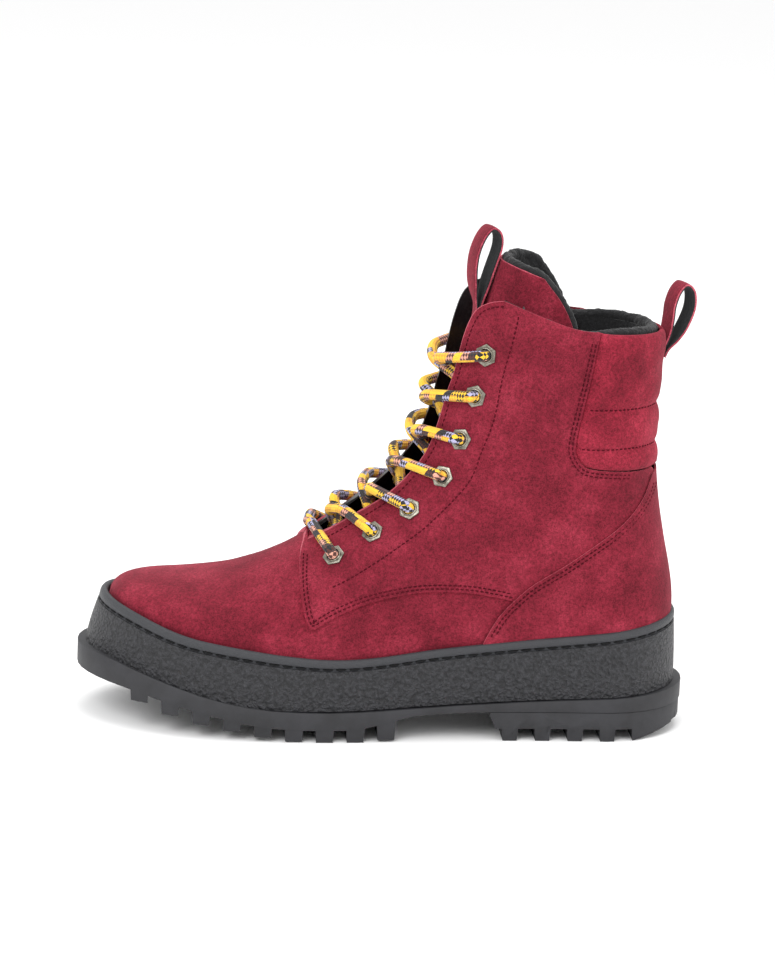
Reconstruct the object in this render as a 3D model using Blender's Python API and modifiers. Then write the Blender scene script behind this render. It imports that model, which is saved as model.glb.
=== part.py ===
# Lace-up winter boot, left foot: cup sole with a lugged tread, suede upper on a fleece lining,
# seven pairs of hexagonal eyelets, one lace, a wide tongue and two pull loops.
# Metres, +Z up.  X runs from the toe (-X) to the heel (+X), the outer side of the foot faces -Y.
# Outlines are listed in millimetres and turned into metres where they are used.

import math

import bmesh
import bpy
import numpy as np
from mathutils import Matrix, Vector

MM = 0.001
GAP = 0.3

# ---- driving dimensions, millimetres -------------------------------------------------------
TOE_X = -133.5
TOE_RADIUS = 50.0
HEEL_RADIUS = 34.0
FRONT_RADIUS = 46.0
TOE_SHIFT = 5.0
LASTING_DEPTH = 12.0

SUEDE = 1.8
BACKING_IN = 2.9
BACKING = 1.0
LINING_IN = 4.2
FLEECE = 3.8
PAD_RISE = 2.0
PAD_SUEDE = 1.4

RIM_SIDE = 4.6
RIM_TOE = 13.9
RIM_HEEL = 8.0
WALL_SIDE = 3.4
WALL_TOE = 10.0
WALL_HEEL = 4.2
LIP = 2.7

BOARD_TOP = 12.9
BOARD = 2.3
FOOTBED = 5.0
FOOTBED_PIVOT = (-124.4, 44.6)

LUG_ROWS = 9
LUG_FIRST = -116.5
LUG_PITCH = 14.7
LUG_LENGTH = 9.4
HEEL_FRONT = 51.0
HEEL_LUG_FIRST = 61.0
HEEL_LUG_PITCH = 15.8
HEEL_LUG_LENGTH = 8.2
HEEL_LUG_HEIGHT = 6.0

HOLE = 3.7
BACKING_HOLE = 4.8
BARREL = 3.4
EYELET_BORE = 2.9
HEX_RADIUS = 5.3
FLAT_RADIUS = 6.0
FLANGE_LOW = 0.35
FLANGE_TOP = 1.15
BARREL_END = -4.2

LACE_RADIUS = 2.2
LACE_BEND = 2.7
EDGE_CLEAR = (1.5, 5.0)
AGLET_RADIUS = 1.7

# ---- side view profiles, (x, z) in millimetres -----------------------------------------------
WALL_TOP = [(-140, 61), (-120, 56), (-98, 49.5), (-79, 46), (-50, 42), (-27, 40), (-5, 41),
            (26, 45), (64, 49), (103, 53), (142, 59)]
RIM_TOP = [(-148, 33.5), (-135, 33), (-122, 30), (-107, 26), (-84, 20), (-62, 16), (-35, 14.5),
           (-8, 15), (27, 17), (73, 19.5), (107, 21), (148, 23.5)]
RIM_BOTTOM = [(-148, 22.5), (-125, 20), (-111, 17.5), (-95, 14), (-80, 11), (-65, 8), (-50, 6.5),
              (-35, 6), (-12, 6.2), (0, 9), (9, 12), (27, 13.5), (50, 14.3), (148, 14.5)]
TREAD = [(-128, 18), (-116, 14), (-103, 10.3), (-87, 7), (-73, 4.8), (-58, 2.4), (-43, 0.6),
         (-34, 0), (-6, 0), (6, 2.5)]
CROWN = [(-133.5, 57), (-131, 62), (-126, 65.5), (-116, 68), (-93, 70.5), (-70, 75.5), (-50, 84),
         (-38, 92), (-25, 102), (-10, 114.5), (2, 127), (10, 140), (15.5, 155), (19.5, 175),
         (22, 198), (23, 214)]
BACK = [(139.5, 20), (140, 55), (139.5, 68), (137.5, 80), (134, 95), (130.5, 113), (128.3, 131),
        (127.3, 150), (127.3, 175), (128.3, 190), (129, 215)]
COLLAR = [(20, 214), (45, 212), (58, 208), (72, 203), (86, 199), (110, 197.5), (132, 196.5)]

# ---- half widths of the upper, (x or z, half width) in millimetres ---------------------------
OUTER_WIDTH = [(-140, 44), (-100, 46), (-60, 48.6), (-45, 48.8), (-13, 46.5), (26, 41), (64, 37.5),
               (103, 36), (150, 36)]
INNER_WIDTH = [(-140, 44), (-100, 46.5), (-65, 48.8), (-45, 48.4), (-13, 42.5), (26, 36.5),
               (64, 34.5), (103, 34.8), (150, 35.5)]
SHAFT_WIDTH = [(20, 37), (90, 36.5), (120, 34.5), (150, 34), (180, 34.5), (220, 35.5)]

# ---- seams of the upper in side view ---------------------------------------------------------
THROAT = [(-38, 90), (-28, 95.8), (-16, 103.8), (-2, 113.8), (9, 125), (17, 137), (22, 151.5),
          (25, 164), (28, 175), (31, 190), (33.5, 199), (37, 206), (43, 210), (50, 211.5)]
VAMP_SEAM = [(-38, 93), (-41.5, 85), (-42, 76), (-41, 66), (-38.5, 57), (-35.5, 54), (-28, 58.5),
             (-20, 62.5), (-7, 67.5), (8, 71), (21, 72.3), (37, 72), (49, 70.3), (60, 68)]
COUNTER_SEAM = [(42, 20), (44, 40), (47, 49), (53, 60), (60, 68), (69, 76), (82, 84.5), (98, 96),
                (112, 107), (121, 117), (126, 127)]
PAD_SEAM = [(97, 230), (95, 198), (92, 177), (89, 161), (86.5, 147), (86.5, 140), (90, 134.5),
            (95, 132.3), (112, 130.8), (126, 130)]
FACING_SEAM = [(58, 215), (56, 205), (54, 193), (50, 175), (47, 155), (42, 140), (36, 124),
               (20, 106), (8, 96), (-7, 85), (-21, 76), (-36, 69)]
LINING_SPLIT = [(-37, 130), (-37, 92), (-32, 66), (-32, 0)]
LINING_STEP = 5.0
FACING_SETBACK = 4.2

# ---- tongue ----------------------------------------------------------------------------------
TONGUE_LINE = [(-34, 83), (-22, 89), (-8, 99), (5.5, 111), (16, 125), (24.5, 141), (31.5, 160),
               (37, 180), (42, 203), (47.5, 222), (50.5, 230.5)]
TONGUE_DEPTH = [(0, 9), (0.35, 16), (0.6, 27), (0.82, 39), (1, 17)]
TONGUE_WIDTH = [(0, 19), (0.35, 20.5), (0.6, 23), (0.82, 24.5), (1, 20)]
TONGUE_SUEDE = 1.6
TONGUE_FLEECE = 3.5
TONGUE_PIVOT = (-36.0, 80.0)

# ---- pull loops: strap centre lines in side view ----------------------------------------------
TONGUE_STRAP = [(36.8, 204), (36.2, 216), (37, 229), (40, 237), (44, 241.2), (47.6, 238.5),
                (48, 232), (44.6, 221.5), (41, 211), (38.9, 204)]
HEEL_STRAP = [(131.8, 184), (131.7, 194), (132, 205), (134.6, 213.5), (138.4, 217), (142, 213.5),
              (142.4, 206), (139.2, 196), (136, 189), (134.2, 184)]
STRAP = 1.5
STRAP_WIDTH = 13.0

# ---- eyelets and the throat edge beside each one, (x, z), bottom to top ------------------------
EYELETS = [(-26, 86), (-8, 98), (9, 110), (24, 126), (32, 144), (38, 165), (42, 185)]
EDGES = [(-33, 93), (-16, 104), (-1, 115), (12.5, 130.5), (20.5, 147.5), (25.5, 166), (30, 185)]
LACE_TAIL = [(44, 176), (45, 165), (41.5, 151), (37.5, 138.5)]
AGLET_TAIL = [(37, 137), (33.5, 129), (29, 120)]


# ---- numbers and curves ------------------------------------------------------------------------

def smooth_line(points, steps=8):
    """Catmull-Rom curve through the points, ends held."""
    pts = np.array([points[0]] + list(points) + [points[-1]], float)
    out = []
    for i in range(1, len(pts) - 2):
        a, b, c, d = pts[i - 1], pts[i], pts[i + 1], pts[i + 2]
        for k in range(steps):
            t = k / steps
            out.append(0.5 * (2 * b + (c - a) * t + (2 * a - 5 * b + 4 * c - d) * t * t
                              + (3 * b - a - 3 * c + d) * t ** 3))
    out.append(pts[-2])
    return np.array(out)


def table(points, by=0):
    """A smooth function of one coordinate of a profile."""
    line = smooth_line(points)
    order = np.argsort(line[:, by], kind="stable")
    xs, ys = line[order, by], line[order, 1 - by]
    return lambda value: float(np.interp(value, xs, ys))


def shifted(points, distance):
    """The polyline moved sideways by distance, to the left of its direction."""
    pts = np.array(points, float)
    step = np.gradient(pts, axis=0)
    step /= np.linalg.norm(step, axis=1)[:, None]
    return pts + distance * np.stack([-step[:, 1], step[:, 0]], axis=1)


def blend(value, low, high):
    t = min(max((value - low) / (high - low), 0.0), 1.0)
    return t * t * (3 - 2 * t)


def rounding(distance, radius):
    t = min(max(distance / radius, 0.0), 1.0)
    return math.sqrt(max(0.0, 1 - (1 - t) ** 2))


wall_top = table(WALL_TOP)
rim_top = table(RIM_TOP)
rim_bottom = table(RIM_BOTTOM)
tread_height = table(TREAD)
back_x = table(BACK, by=1)
collar_z = table(COLLAR)
outer_width = table(OUTER_WIDTH)
inner_width = table(INNER_WIDTH)
shaft_width = table(SHAFT_WIDTH)


def centre_y(x):
    """The toe turns a little towards the big toe's side."""
    return TOE_SHIFT * blend(-x, 70, 135)


def plan_width(x, side, grow=0.0, toe=0.0, heel=0.0):
    """Half width of the foot's outline, grown sideways, at the toe and at the heel."""
    base = (outer_width(x) if side < 0 else inner_width(x)) + grow
    nose = rounding(x - (TOE_X - toe), TOE_RADIUS + toe)
    tail = rounding(back_x(wall_top(140)) + heel - x, HEEL_RADIUS + heel)
    return base * nose * tail


class Form:
    """The boot's outer surface, moved inwards by inset millimetres."""

    def __init__(self, inset=0.0):
        self.inset = inset
        line = shifted(smooth_line(CROWN), -inset)
        self.crown = np.maximum.accumulate(line, axis=0)

    def crown_z(self, x):
        return float(np.interp(x, self.crown[:, 0], self.crown[:, 1]))

    def front_x(self, z):
        return float(np.interp(z, self.crown[:, 1], self.crown[:, 0]))

    def back(self, z):
        return back_x(z) - self.inset

    def width(self, x, z, side):
        """Half width at (x, z): an arch over the foot that turns into an oval up the leg."""
        foot = outer_width(x) if side < 0 else inner_width(x)
        lift = blend(z, 55, 115)
        base = foot * (1 - lift) + shaft_width(z) * lift - self.inset
        low, high = wall_top(x), self.crown_z(x)
        rise = min(max((z - low) / max(high - low, 0.5), 0.0), 1.0)
        arch = math.sqrt(max(0.0, 1 - rise ** 2.2))
        oval = rounding(x - self.front_x(z), FRONT_RADIUS)
        leg = blend(x, -50, 20)
        toe = self.crown[0, 0]
        nose = rounding(x - toe, TOE_RADIUS)
        tail = rounding(self.back(z) - x, HEEL_RADIUS)
        return base * (arch * (1 - leg) + oval * leg) * nose * tail

    def point(self, x, z, side):
        return np.array([x, centre_y(x) + side * self.width(x, z, side), z])

    def normal(self, x, z, side):
        step = 0.6
        dx = self.point(x + step, z, side) - self.point(x - step, z, side)
        dz = self.point(x, z + step, side) - self.point(x, z - step, side)
        n = np.cross(dx, dz) * (1 if side < 0 else -1)
        return n / np.linalg.norm(n)

    def off(self, x, z, side, distance):
        return self.point(x, z, side) + distance * self.normal(x, z, side)


# ---- meshes and objects --------------------------------------------------------------------------

def clear_scene():
    for ob in list(bpy.data.objects):
        bpy.data.objects.remove(ob, do_unlink=True)
    for group in list(bpy.data.collections):
        bpy.data.collections.remove(group)


clear_scene()
BOOT = bpy.data.collections.new("winter_boot")
CUTTERS = bpy.data.collections.new("cutters")
bpy.context.scene.collection.children.link(BOOT)
bpy.context.scene.collection.children.link(CUTTERS)


def material(name, colour, roughness, metallic=0.0):
    mat = bpy.data.materials.new(name)
    mat.use_nodes = True
    shader = mat.node_tree.nodes["Principled BSDF"]
    shader.inputs["Base Color"].default_value = (*colour, 1)
    shader.inputs["Roughness"].default_value = roughness
    shader.inputs["Metallic"].default_value = metallic
    return mat


SUEDE_RED = (0.30, 0.030, 0.060)
BLACK_FLEECE = (0.016, 0.016, 0.018)
BLACK_LEATHER = (0.012, 0.011, 0.012)
RUBBER_GREY = (0.030, 0.031, 0.034)
STEEL = (0.45, 0.44, 0.42)


def put(name, mesh, look, cutter=False):
    """An object from a mesh, in the boot's collection or among the cutters."""
    ob = bpy.data.objects.new(name, mesh)
    (CUTTERS if cutter else BOOT).objects.link(ob)
    if cutter:
        ob.hide_render = True
        ob.display_type = "WIRE"
    elif look:
        mesh.materials.clear()
        mesh.materials.append(material(name, *look))
    return ob


def mesh_of(name, points, faces):
    """A mesh from points in millimetres."""
    mesh = bpy.data.meshes.new(name)
    mesh.from_pydata([tuple(float(c) * MM for c in p) for p in points], [], faces)
    bm = bmesh.new()
    bm.from_mesh(mesh)
    bmesh.ops.remove_doubles(bm, verts=bm.verts, dist=0.02 * MM)
    bm.to_mesh(mesh)
    bm.free()
    mesh.update()
    return mesh


def face_out(mesh):
    bm = bmesh.new()
    bm.from_mesh(mesh)
    bmesh.ops.recalc_face_normals(bm, faces=bm.faces)
    if bm.calc_volume(signed=True) < 0:
        bmesh.ops.reverse_faces(bm, faces=bm.faces)
    bm.to_mesh(mesh)
    bm.free()
    return mesh


def rounded_look(mesh, angle=40):
    mesh.shade_smooth()
    mesh.set_sharp_from_angle(angle=math.radians(angle))


def prism(name, outline, low_y, high_y, cutter=True):
    """A side view outline made solid between two values of y, as a filled flat curve."""
    curve = bpy.data.curves.new(name, "CURVE")
    curve.dimensions = "2D"
    curve.fill_mode = "BOTH"
    curve.extrude = (high_y - low_y) / 2 * MM
    spline = curve.splines.new("POLY")
    spline.points.add(len(outline) - 1)
    for point, (x, z) in zip(spline.points, outline):
        point.co = (x * MM, z * MM, 0, 1)
    spline.use_cyclic_u = True
    flat = bpy.data.objects.new(name + "_outline", curve)
    CUTTERS.objects.link(flat)
    bpy.context.view_layer.update()
    mesh = bpy.data.meshes.new_from_object(flat.evaluated_get(bpy.context.evaluated_depsgraph_get()))
    bpy.data.objects.remove(flat, do_unlink=True)
    mesh.name = name
    turn = Matrix.Rotation(math.pi / 2, 4, "X")
    mesh.transform(Matrix.Translation((0, (low_y + high_y) / 2 * MM, 0)) @ turn)
    bm = bmesh.new()
    bm.from_mesh(mesh)
    bmesh.ops.remove_doubles(bm, verts=bm.verts, dist=0.01 * MM)
    bm.to_mesh(mesh)
    bm.free()
    face_out(mesh)
    return put(name, mesh, None, cutter=True) if cutter else mesh


def cut(ob, other, operation, solver="EXACT"):
    mod = ob.modifiers.new(operation.lower(), "BOOLEAN")
    mod.object = other
    mod.operation = operation
    mod.solver = solver
    return mod


def settle(ob):
    """Applies the modifiers, so that later pieces can start from the finished mesh."""
    bpy.context.view_layer.update()
    done = bpy.data.meshes.new_from_object(ob.evaluated_get(bpy.context.evaluated_depsgraph_get()))
    ob.modifiers.clear()
    old = ob.data
    ob.data = done
    bpy.data.meshes.remove(old)
    return ob


def box(name, low, high, taper=0.0, cutter=True):
    """A cube primitive between two corners, its lower face drawn in by taper."""
    bm = bmesh.new()
    bmesh.ops.create_cube(bm, size=1.0)
    low, high = Vector(low) * MM, Vector(high) * MM
    for vert in bm.verts:
        spot = Vector([low[i] if vert.co[i] < 0 else high[i] for i in range(3)])
        if vert.co.z < 0:
            spot.x += math.copysign(taper * MM, -vert.co.x)
            spot.y += math.copysign(taper * MM, -vert.co.y)
        vert.co = spot
    mesh = bpy.data.meshes.new(name)
    bm.to_mesh(mesh)
    bm.free()
    return put(name, mesh, None, cutter=True) if cutter else mesh


def joined(name, meshes):
    """Several separate closed meshes in one cutter."""
    bm = bmesh.new()
    for mesh in meshes:
        bm.from_mesh(mesh)
        bpy.data.meshes.remove(mesh)
    out = bpy.data.meshes.new(name)
    bm.to_mesh(out)
    bm.free()
    return put(name, out, None, cutter=True)


# ---- the sole -----------------------------------------------------------------------------------

def slab(name, xs, width, low, high):
    """A closed solid over the stations xs: width(x, side) each way, low(x) to high(x)."""
    points, faces = [], []
    for x in xs:
        left = centre_y(x) - width(x, -1)
        right = centre_y(x) + width(x, 1)
        points += [(x, left, low(x)), (x, right, low(x)), (x, right, high(x)), (x, left, high(x))]
    for i in range(len(xs) - 1):
        for k in range(4):
            a, b = 4 * i + k, 4 * i + (k + 1) % 4
            faces.append((a, b, b + 4, a + 4))
    faces.append((0, 3, 2, 1))
    last = 4 * (len(xs) - 1)
    faces.append((last, last + 1, last + 2, last + 3))
    mesh = bpy.data.meshes.new(name)
    mesh.from_pydata([tuple(float(c) * MM for c in p) for p in points], [], faces)
    bm = bmesh.new()
    bm.from_mesh(mesh)
    bmesh.ops.remove_doubles(bm, verts=bm.verts, dist=0.02 * MM)
    bmesh.ops.dissolve_degenerate(bm, edges=bm.edges, dist=0.01 * MM)
    bm.to_mesh(mesh)
    bm.free()
    return face_out(mesh)


def stations(start, end, count):
    """Places along the boot, closer together at both rounded ends."""
    return [(start + end) / 2 - (end - start) / 2 * math.cos(math.pi * i / count)
            for i in range(count + 1)]


def heel_end(grow):
    return back_x(wall_top(140)) + grow


def lugs(name, rows, split, depth):
    """Rows of four tapered blocks across the tread."""
    blocks = []
    for row, (x, low, length) in enumerate(rows):
        step = split * (1 if row % 2 else -1) * 0.15
        for inner, outer in ((split + 4, 80), (3, split - 1)):
            for side in (-1, 1):
                near = side * inner + step
                far = side * outer + (step if outer < 80 else 0)
                low_y, high_y = min(near, far), max(near, far)
                taper = 0.7
                blocks.append(box(name, (x - length / 2, low_y, low),
                                  (x + length / 2, high_y, low + depth), taper, cutter=False))
    return joined(name, blocks)


def rim_width(x, side):
    return plan_width(x, side, RIM_SIDE, RIM_TOE, RIM_HEEL)


def tread_width(x, side):
    return plan_width(x, side, RIM_SIDE - 0.3, RIM_TOE - 0.6, RIM_HEEL - 0.4)


def make_outsole():
    xs = stations(TOE_X - RIM_TOE, heel_end(RIM_HEEL), 34)
    plate = put("outsole", slab("outsole", xs, rim_width, rim_bottom, rim_top), (RUBBER_GREY, 0.62))
    rows = []
    for i in range(LUG_ROWS):
        x = LUG_FIRST + LUG_PITCH * i
        rows.append((x, max(0.0, tread_height(x)), LUG_LENGTH))
    blocks = lugs("forefoot_lugs", rows, 20, 11.0)
    xs = stations(TOE_X - RIM_TOE + 1, heel_end(RIM_HEEL) - 1, 34)
    limit = put("tread_limit", slab("tread_limit", xs, tread_width, lambda x: -8, lambda x: 60),
                None, cutter=True)
    cut(blocks, limit, "INTERSECT")
    settle(blocks)
    cut(plate, blocks, "UNION")
    settle(plate)
    return plate, limit


def make_heel_block(limit):
    xs = [HEEL_FRONT + (heel_end(RIM_HEEL) - 0.6 - HEEL_FRONT) * math.sin(math.pi / 2 * i / 14)
          for i in range(15)]
    top = slab("heel_block", xs, tread_width, lambda x: HEEL_LUG_HEIGHT, lambda x: rim_bottom(x) - GAP)
    heel = put("heel_block", top, (RUBBER_GREY, 0.6))
    rows = [(HEEL_LUG_FIRST + HEEL_LUG_PITCH * i, 0.0, HEEL_LUG_LENGTH) for i in range(4)]
    rows.append((HEEL_LUG_FIRST + HEEL_LUG_PITCH * 4 + 9, 0.0, 26.0))
    blocks = lugs("heel_lugs", rows, 14, HEEL_LUG_HEIGHT + 2)
    cut(blocks, limit, "INTERSECT")
    settle(blocks)
    cut(heel, blocks, "UNION")
    strike = prism("heel_strike", [(120, -1), (121, 0), (150, 7), (150, -5)], -60, 60)
    cut(heel, strike, "DIFFERENCE")
    breast = prism("heel_breast", [(HEEL_FRONT - 2, 16), (HEEL_FRONT + 6.5, -1), (HEEL_FRONT - 9, -1)],
                   -60, 60)
    cut(heel, breast, "DIFFERENCE")
    settle(heel)


def ring_point(x, side, grow, toe, heel, z):
    return (x, centre_y(x) + side * plan_width(x, side, grow, toe, heel), z)


def make_sidewall():
    """The cup's wall: a closed ring whose section leans in towards the lip."""
    count = 28
    points = []
    ring = [(i, -1) for i in range(count + 1)] + [(i, 1) for i in range(count - 1, 0, -1)]
    shapes = [(GAP, GAP, GAP, "low"), (WALL_SIDE, WALL_TOE, WALL_HEEL, "low"),
              (WALL_SIDE - 0.3, WALL_TOE - 4, WALL_HEEL - 1, "mid"), (LIP, LIP, LIP, "lip"),
              (LIP - 1.4, LIP - 1.4, LIP - 1.4, "top"), (GAP, GAP, GAP, "top")]
    for i, side in ring:
        for grow, toe, heel, level in shapes:
            x = stations(TOE_X - toe, heel_end(heel), count)[i]
            low, high = rim_top(x) + 2 * GAP, wall_top(x)
            z = {"low": low, "mid": low + 0.55 * (high - low), "lip": high - 1.5, "top": high}[level]
            points.append(ring_point(x, side, grow, toe, heel, z))
    size = len(shapes)
    faces = []
    for i in range(len(ring)):
        j = (i + 1) % len(ring)
        for k in range(size):
            m = (k + 1) % size
            faces.append((size * i + k, size * i + m, size * j + m, size * j + k))
    put("sidewall", face_out(mesh_of("sidewall", points, faces)), (RUBBER_GREY, 0.7))


def inner_slab(name, inset, low, high, look, count=18):
    xs = stations(TOE_X + inset, heel_end(-inset), count)
    mesh = slab(name, xs, lambda x, side: plan_width(x, side, -inset, -inset, -inset), low, high)
    return put(name, mesh, look)


def make_sole_inside():
    core = inner_slab("midsole_core", 0.5, lambda x: rim_top(x) + 3 * GAP,
                      lambda x: wall_top(x) - BOARD_TOP - BOARD - GAP, ((0.05, 0.05, 0.055), 0.9))
    seat = [-4 + 100 * i / 8 for i in range(9)]
    bed = lambda x: wall_top(x) - BOARD_TOP - BOARD - GAP
    slot = put("shank_slot", slab("shank_slot", [seat[0] - 0.5] + seat[1:-1] + [seat[-1] + 0.5],
                                  lambda x, side: 8.0, lambda x: bed(x) - 2.2, lambda x: bed(x) + 3),
               None, cutter=True)
    cut(core, slot, "DIFFERENCE")
    settle(core)
    put("shank", slab("shank", seat, lambda x, side: 7.5, lambda x: bed(x) - 1.8,
                      lambda x: bed(x) - 0.3), (STEEL, 0.35, 1.0))
    inner_slab("insole_board", 0.5, lambda x: wall_top(x) - BOARD_TOP - BOARD,
               lambda x: wall_top(x) - BOARD_TOP, ((0.42, 0.33, 0.22), 0.9))
    bed_inset = LINING_IN + FLEECE + 1.6
    footbed = inner_slab("footbed", bed_inset, lambda x: wall_top(x) - BOARD_TOP + GAP,
                         lambda x: wall_top(x) - BOARD_TOP + GAP + FOOTBED, (BLACK_FLEECE, 0.95))
    return footbed


# ---- the upper -------------------------------------------------------------------------------------

FRONT_COLUMNS = 15
REAR_COLUMNS = 8
ROWS = 8


def form_surface(name, inset, depth=LASTING_DEPTH):
    """The open surface of the upper: closed over the instep, open at the sole and the collar."""
    form = Form(inset)
    crown = form.crown
    reach = np.concatenate([[0], np.cumsum(np.linalg.norm(np.diff(crown, axis=0), axis=1))])
    toe = crown[0, 0]
    split_low = 62.0

    def crown_at(part):
        return [float(np.interp(part * reach[-1], reach, crown[:, k])) for k in range(2)]

    def spot(column, row):
        part = row / ROWS
        if column <= FRONT_COLUMNS:
            u = column / FRONT_COLUMNS
            top = crown_at(u ** 1.35)
            x0 = toe + (split_low - toe) * u ** 1.7
            z0 = wall_top(x0) - depth
            v = math.sin(part * math.pi / 2)
            return x0 + (top[0] - x0) * v, z0 + (top[1] - z0) * v
        w = (column - FRONT_COLUMNS) / REAR_COLUMNS
        share = math.sin(w * math.pi / 2)
        even = blend(w, 0, 0.6)
        v = math.sin(part * math.pi / 2) * (1 - even) + part * even
        end = crown_at(1.0)
        x_top = end[0] + share * (form.back(196) - end[0])
        x_low = split_low + share * (form.back(47) - split_low)
        z = wall_top(x_low) - depth + v * (collar_z(x_top) - wall_top(x_low) + depth)
        front = split_low + (end[0] - split_low) * v
        return front + share * (form.back(z) - front), z

    last = FRONT_COLUMNS + REAR_COLUMNS
    ring = [(c, -1) for c in range(last + 1)] + [(c, 1) for c in range(last - 1, 0, -1)]
    points = []
    for column, side in ring:
        for row in range(ROWS + 1):
            x, z = spot(column, row)
            ridge = column == 0 or column == last or (row == ROWS and column <= FRONT_COLUMNS)
            y = centre_y(x) if ridge else form.point(x, z, side)[1]
            points.append((x, y, z))
    faces = []
    size = ROWS + 1
    for i in range(len(ring)):
        j = (i + 1) % len(ring)
        for row in range(ROWS):
            faces.append((size * i + row, size * j + row, size * j + row + 1, size * i + row + 1))
    return mesh_of(name, points, faces)


def shell(name, inset, thickness, look, depth=LASTING_DEPTH):
    """One layer of the upper: its outer surface, thickened inwards."""
    mesh = form_surface(name, inset, depth)
    ob = put(name, mesh, look)
    solid = ob.modifiers.new("thickness", "SOLIDIFY")
    solid.thickness = thickness * MM
    solid.offset = -1
    solid.use_even_offset = True
    return ob


def line(points, distance=0.0):
    """A seam as a smooth polyline, moved sideways by half a gap or more."""
    return [tuple(p) for p in shifted(smooth_line(points, 3), distance)]


def panel(name, inset, thickness, look, outline, side=0, holes=()):
    """The part of a layer inside a side view outline, on one side (-1, 1) or on both (0)."""
    ob = shell(name, inset, thickness, look)
    low = -90 if side <= 0 else 1.0
    high = 90 if side >= 0 else -1.0
    cut(ob, prism(name + "_outline", outline, low, high), "INTERSECT", "MANIFOLD")
    for hole in holes:
        cut(ob, hole, "DIFFERENCE", "MANIFOLD")
    settle(ob)
    keep_largest(ob)
    rounded_look(ob.data)
    return ob


def keep_largest(ob):
    """Drops slivers that a cut can leave beside the panel."""
    bm = bmesh.new()
    bm.from_mesh(ob.data)
    seen, groups = set(), []
    for start in bm.faces:
        if start in seen:
            continue
        group, queue = [], [start]
        seen.add(start)
        while queue:
            face = queue.pop()
            group.append(face)
            for edge in face.edges:
                for other in edge.link_faces:
                    if other not in seen:
                        seen.add(other)
                        queue.append(other)
        groups.append(group)
    groups.sort(key=lambda g: -sum(f.calc_area() for f in g))
    drop = [face for group in groups[1:] for face in group]
    bmesh.ops.delete(bm, geom=drop, context="FACES")
    bm.to_mesh(ob.data)
    bm.free()


def half(points, sign):
    return line(points, sign * GAP / 2)


def vamp_outline():
    edge = half(VAMP_SEAM[:-1], -1)
    rear = [p for p in half(COUNTER_SEAM, 1) if p[1] < 67]
    return [(-170, 0), (-170, 130), (-38.2, 130)] + edge + rear[::-1]


def quarter_outline():
    throat = line(THROAT)
    pad = half(PAD_SEAM[1:], -1)
    counter = half(COUNTER_SEAM[4:], 1)
    seam = half(VAMP_SEAM, 1)
    return throat + [(60, 220), (94.6, 220)] + pad + counter[:0:-1] + seam[-2::-1]


def counter_outline():
    return half(COUNTER_SEAM, -1) + [(135, 128.6), (160, 128.6), (160, 0), (42, 0)]


def pad_outline():
    return half(PAD_SEAM, 1) + [(160, 130), (160, 230)]


def facing_outline():
    throat = line(THROAT[:-1], -FACING_SETBACK)
    return throat + line(FACING_SEAM)


def vamp_lining_outline():
    split = line(LINING_SPLIT[:], -0.4)
    return split + [(-170, 0), (-170, 130)]


def shaft_lining_outline():
    front = line(FACING_SEAM[:-1], LINING_STEP)
    return front + [(-31, 66), (-31, 0), (160, 0), (160, 230), (66, 230)]


def eyelet_holes(side):
    """Cutters for the lace flap: round holes square to it, and flats for the flanges."""
    form = Form()
    tag = "outer" if side < 0 else "inner"
    cutters = []
    for name, radius, low, high in (("backing_holes_", BACKING_HOLE, -7, 6), ("holes_", HOLE, -6, 6),
                                    ("flats_", FLAT_RADIUS, 0.05, 5)):
        rods = []
        for x, z in EYELETS:
            rod = prism_round(10, radius, low, high)
            rod.transform(seat(form, x, z, side))
            rods.append(rod)
        cutters.append(joined(name + tag, rods))
    return cutters


def seat(form, x, z, side):
    """The frame of an eyelet: its axis is the surface normal."""
    n = Vector(form.normal(x, z, side))
    p = Vector(form.point(x, z, side)) * MM
    return Matrix.Translation(p) @ n.to_track_quat("Z", "Y").to_matrix().to_4x4()


def make_upper():
    red = (SUEDE_RED, 0.95)
    fleece = (BLACK_FLEECE, 0.98)
    leather = (BLACK_LEATHER, 0.5)
    panel("vamp", 0, SUEDE, red, vamp_outline())
    for side, tag in ((-1, "lateral"), (1, "medial")):
        holes = eyelet_holes(side)
        panel("quarter_" + tag, 0, SUEDE, red, quarter_outline(), side, holes[1:])
        panel("facing_" + tag, BACKING_IN, BACKING, leather, facing_outline(), side, holes[:1])
    panel("heel_cover", 0, SUEDE, red, counter_outline())
    panel("collar_pad", -PAD_RISE, PAD_SUEDE, red, pad_outline())
    panel("collar_foam", -PAD_RISE + PAD_SUEDE + GAP, LINING_IN - GAP + PAD_RISE - PAD_SUEDE - GAP,
          ((0.35, 0.35, 0.33), 0.95), pad_inside())
    board = ((0.5, 0.42, 0.3), 0.9)
    panel("toe_puff", BACKING_IN, BACKING, board, [(-170, 0), (-170, 130), (-92, 130), (-84, 0)])
    panel("heel_stiffener", BACKING_IN, BACKING, board,
          [(62, 0), (66, 66), (88, 84), (118, 110), (160, 118), (160, 0)])
    panel("vamp_lining", LINING_IN, FLEECE, fleece, vamp_lining_outline())
    panel("shaft_lining", LINING_IN, FLEECE, fleece, shaft_lining_outline())


def pad_inside():
    """The foam stays a few millimetres inside the pad's seam and below its top edge."""
    return line(PAD_SEAM[1:], 2.5) + [(160, 133), (160, 194), (98.5, 194)]


# ---- tongue ---------------------------------------------------------------------------------------

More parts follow.
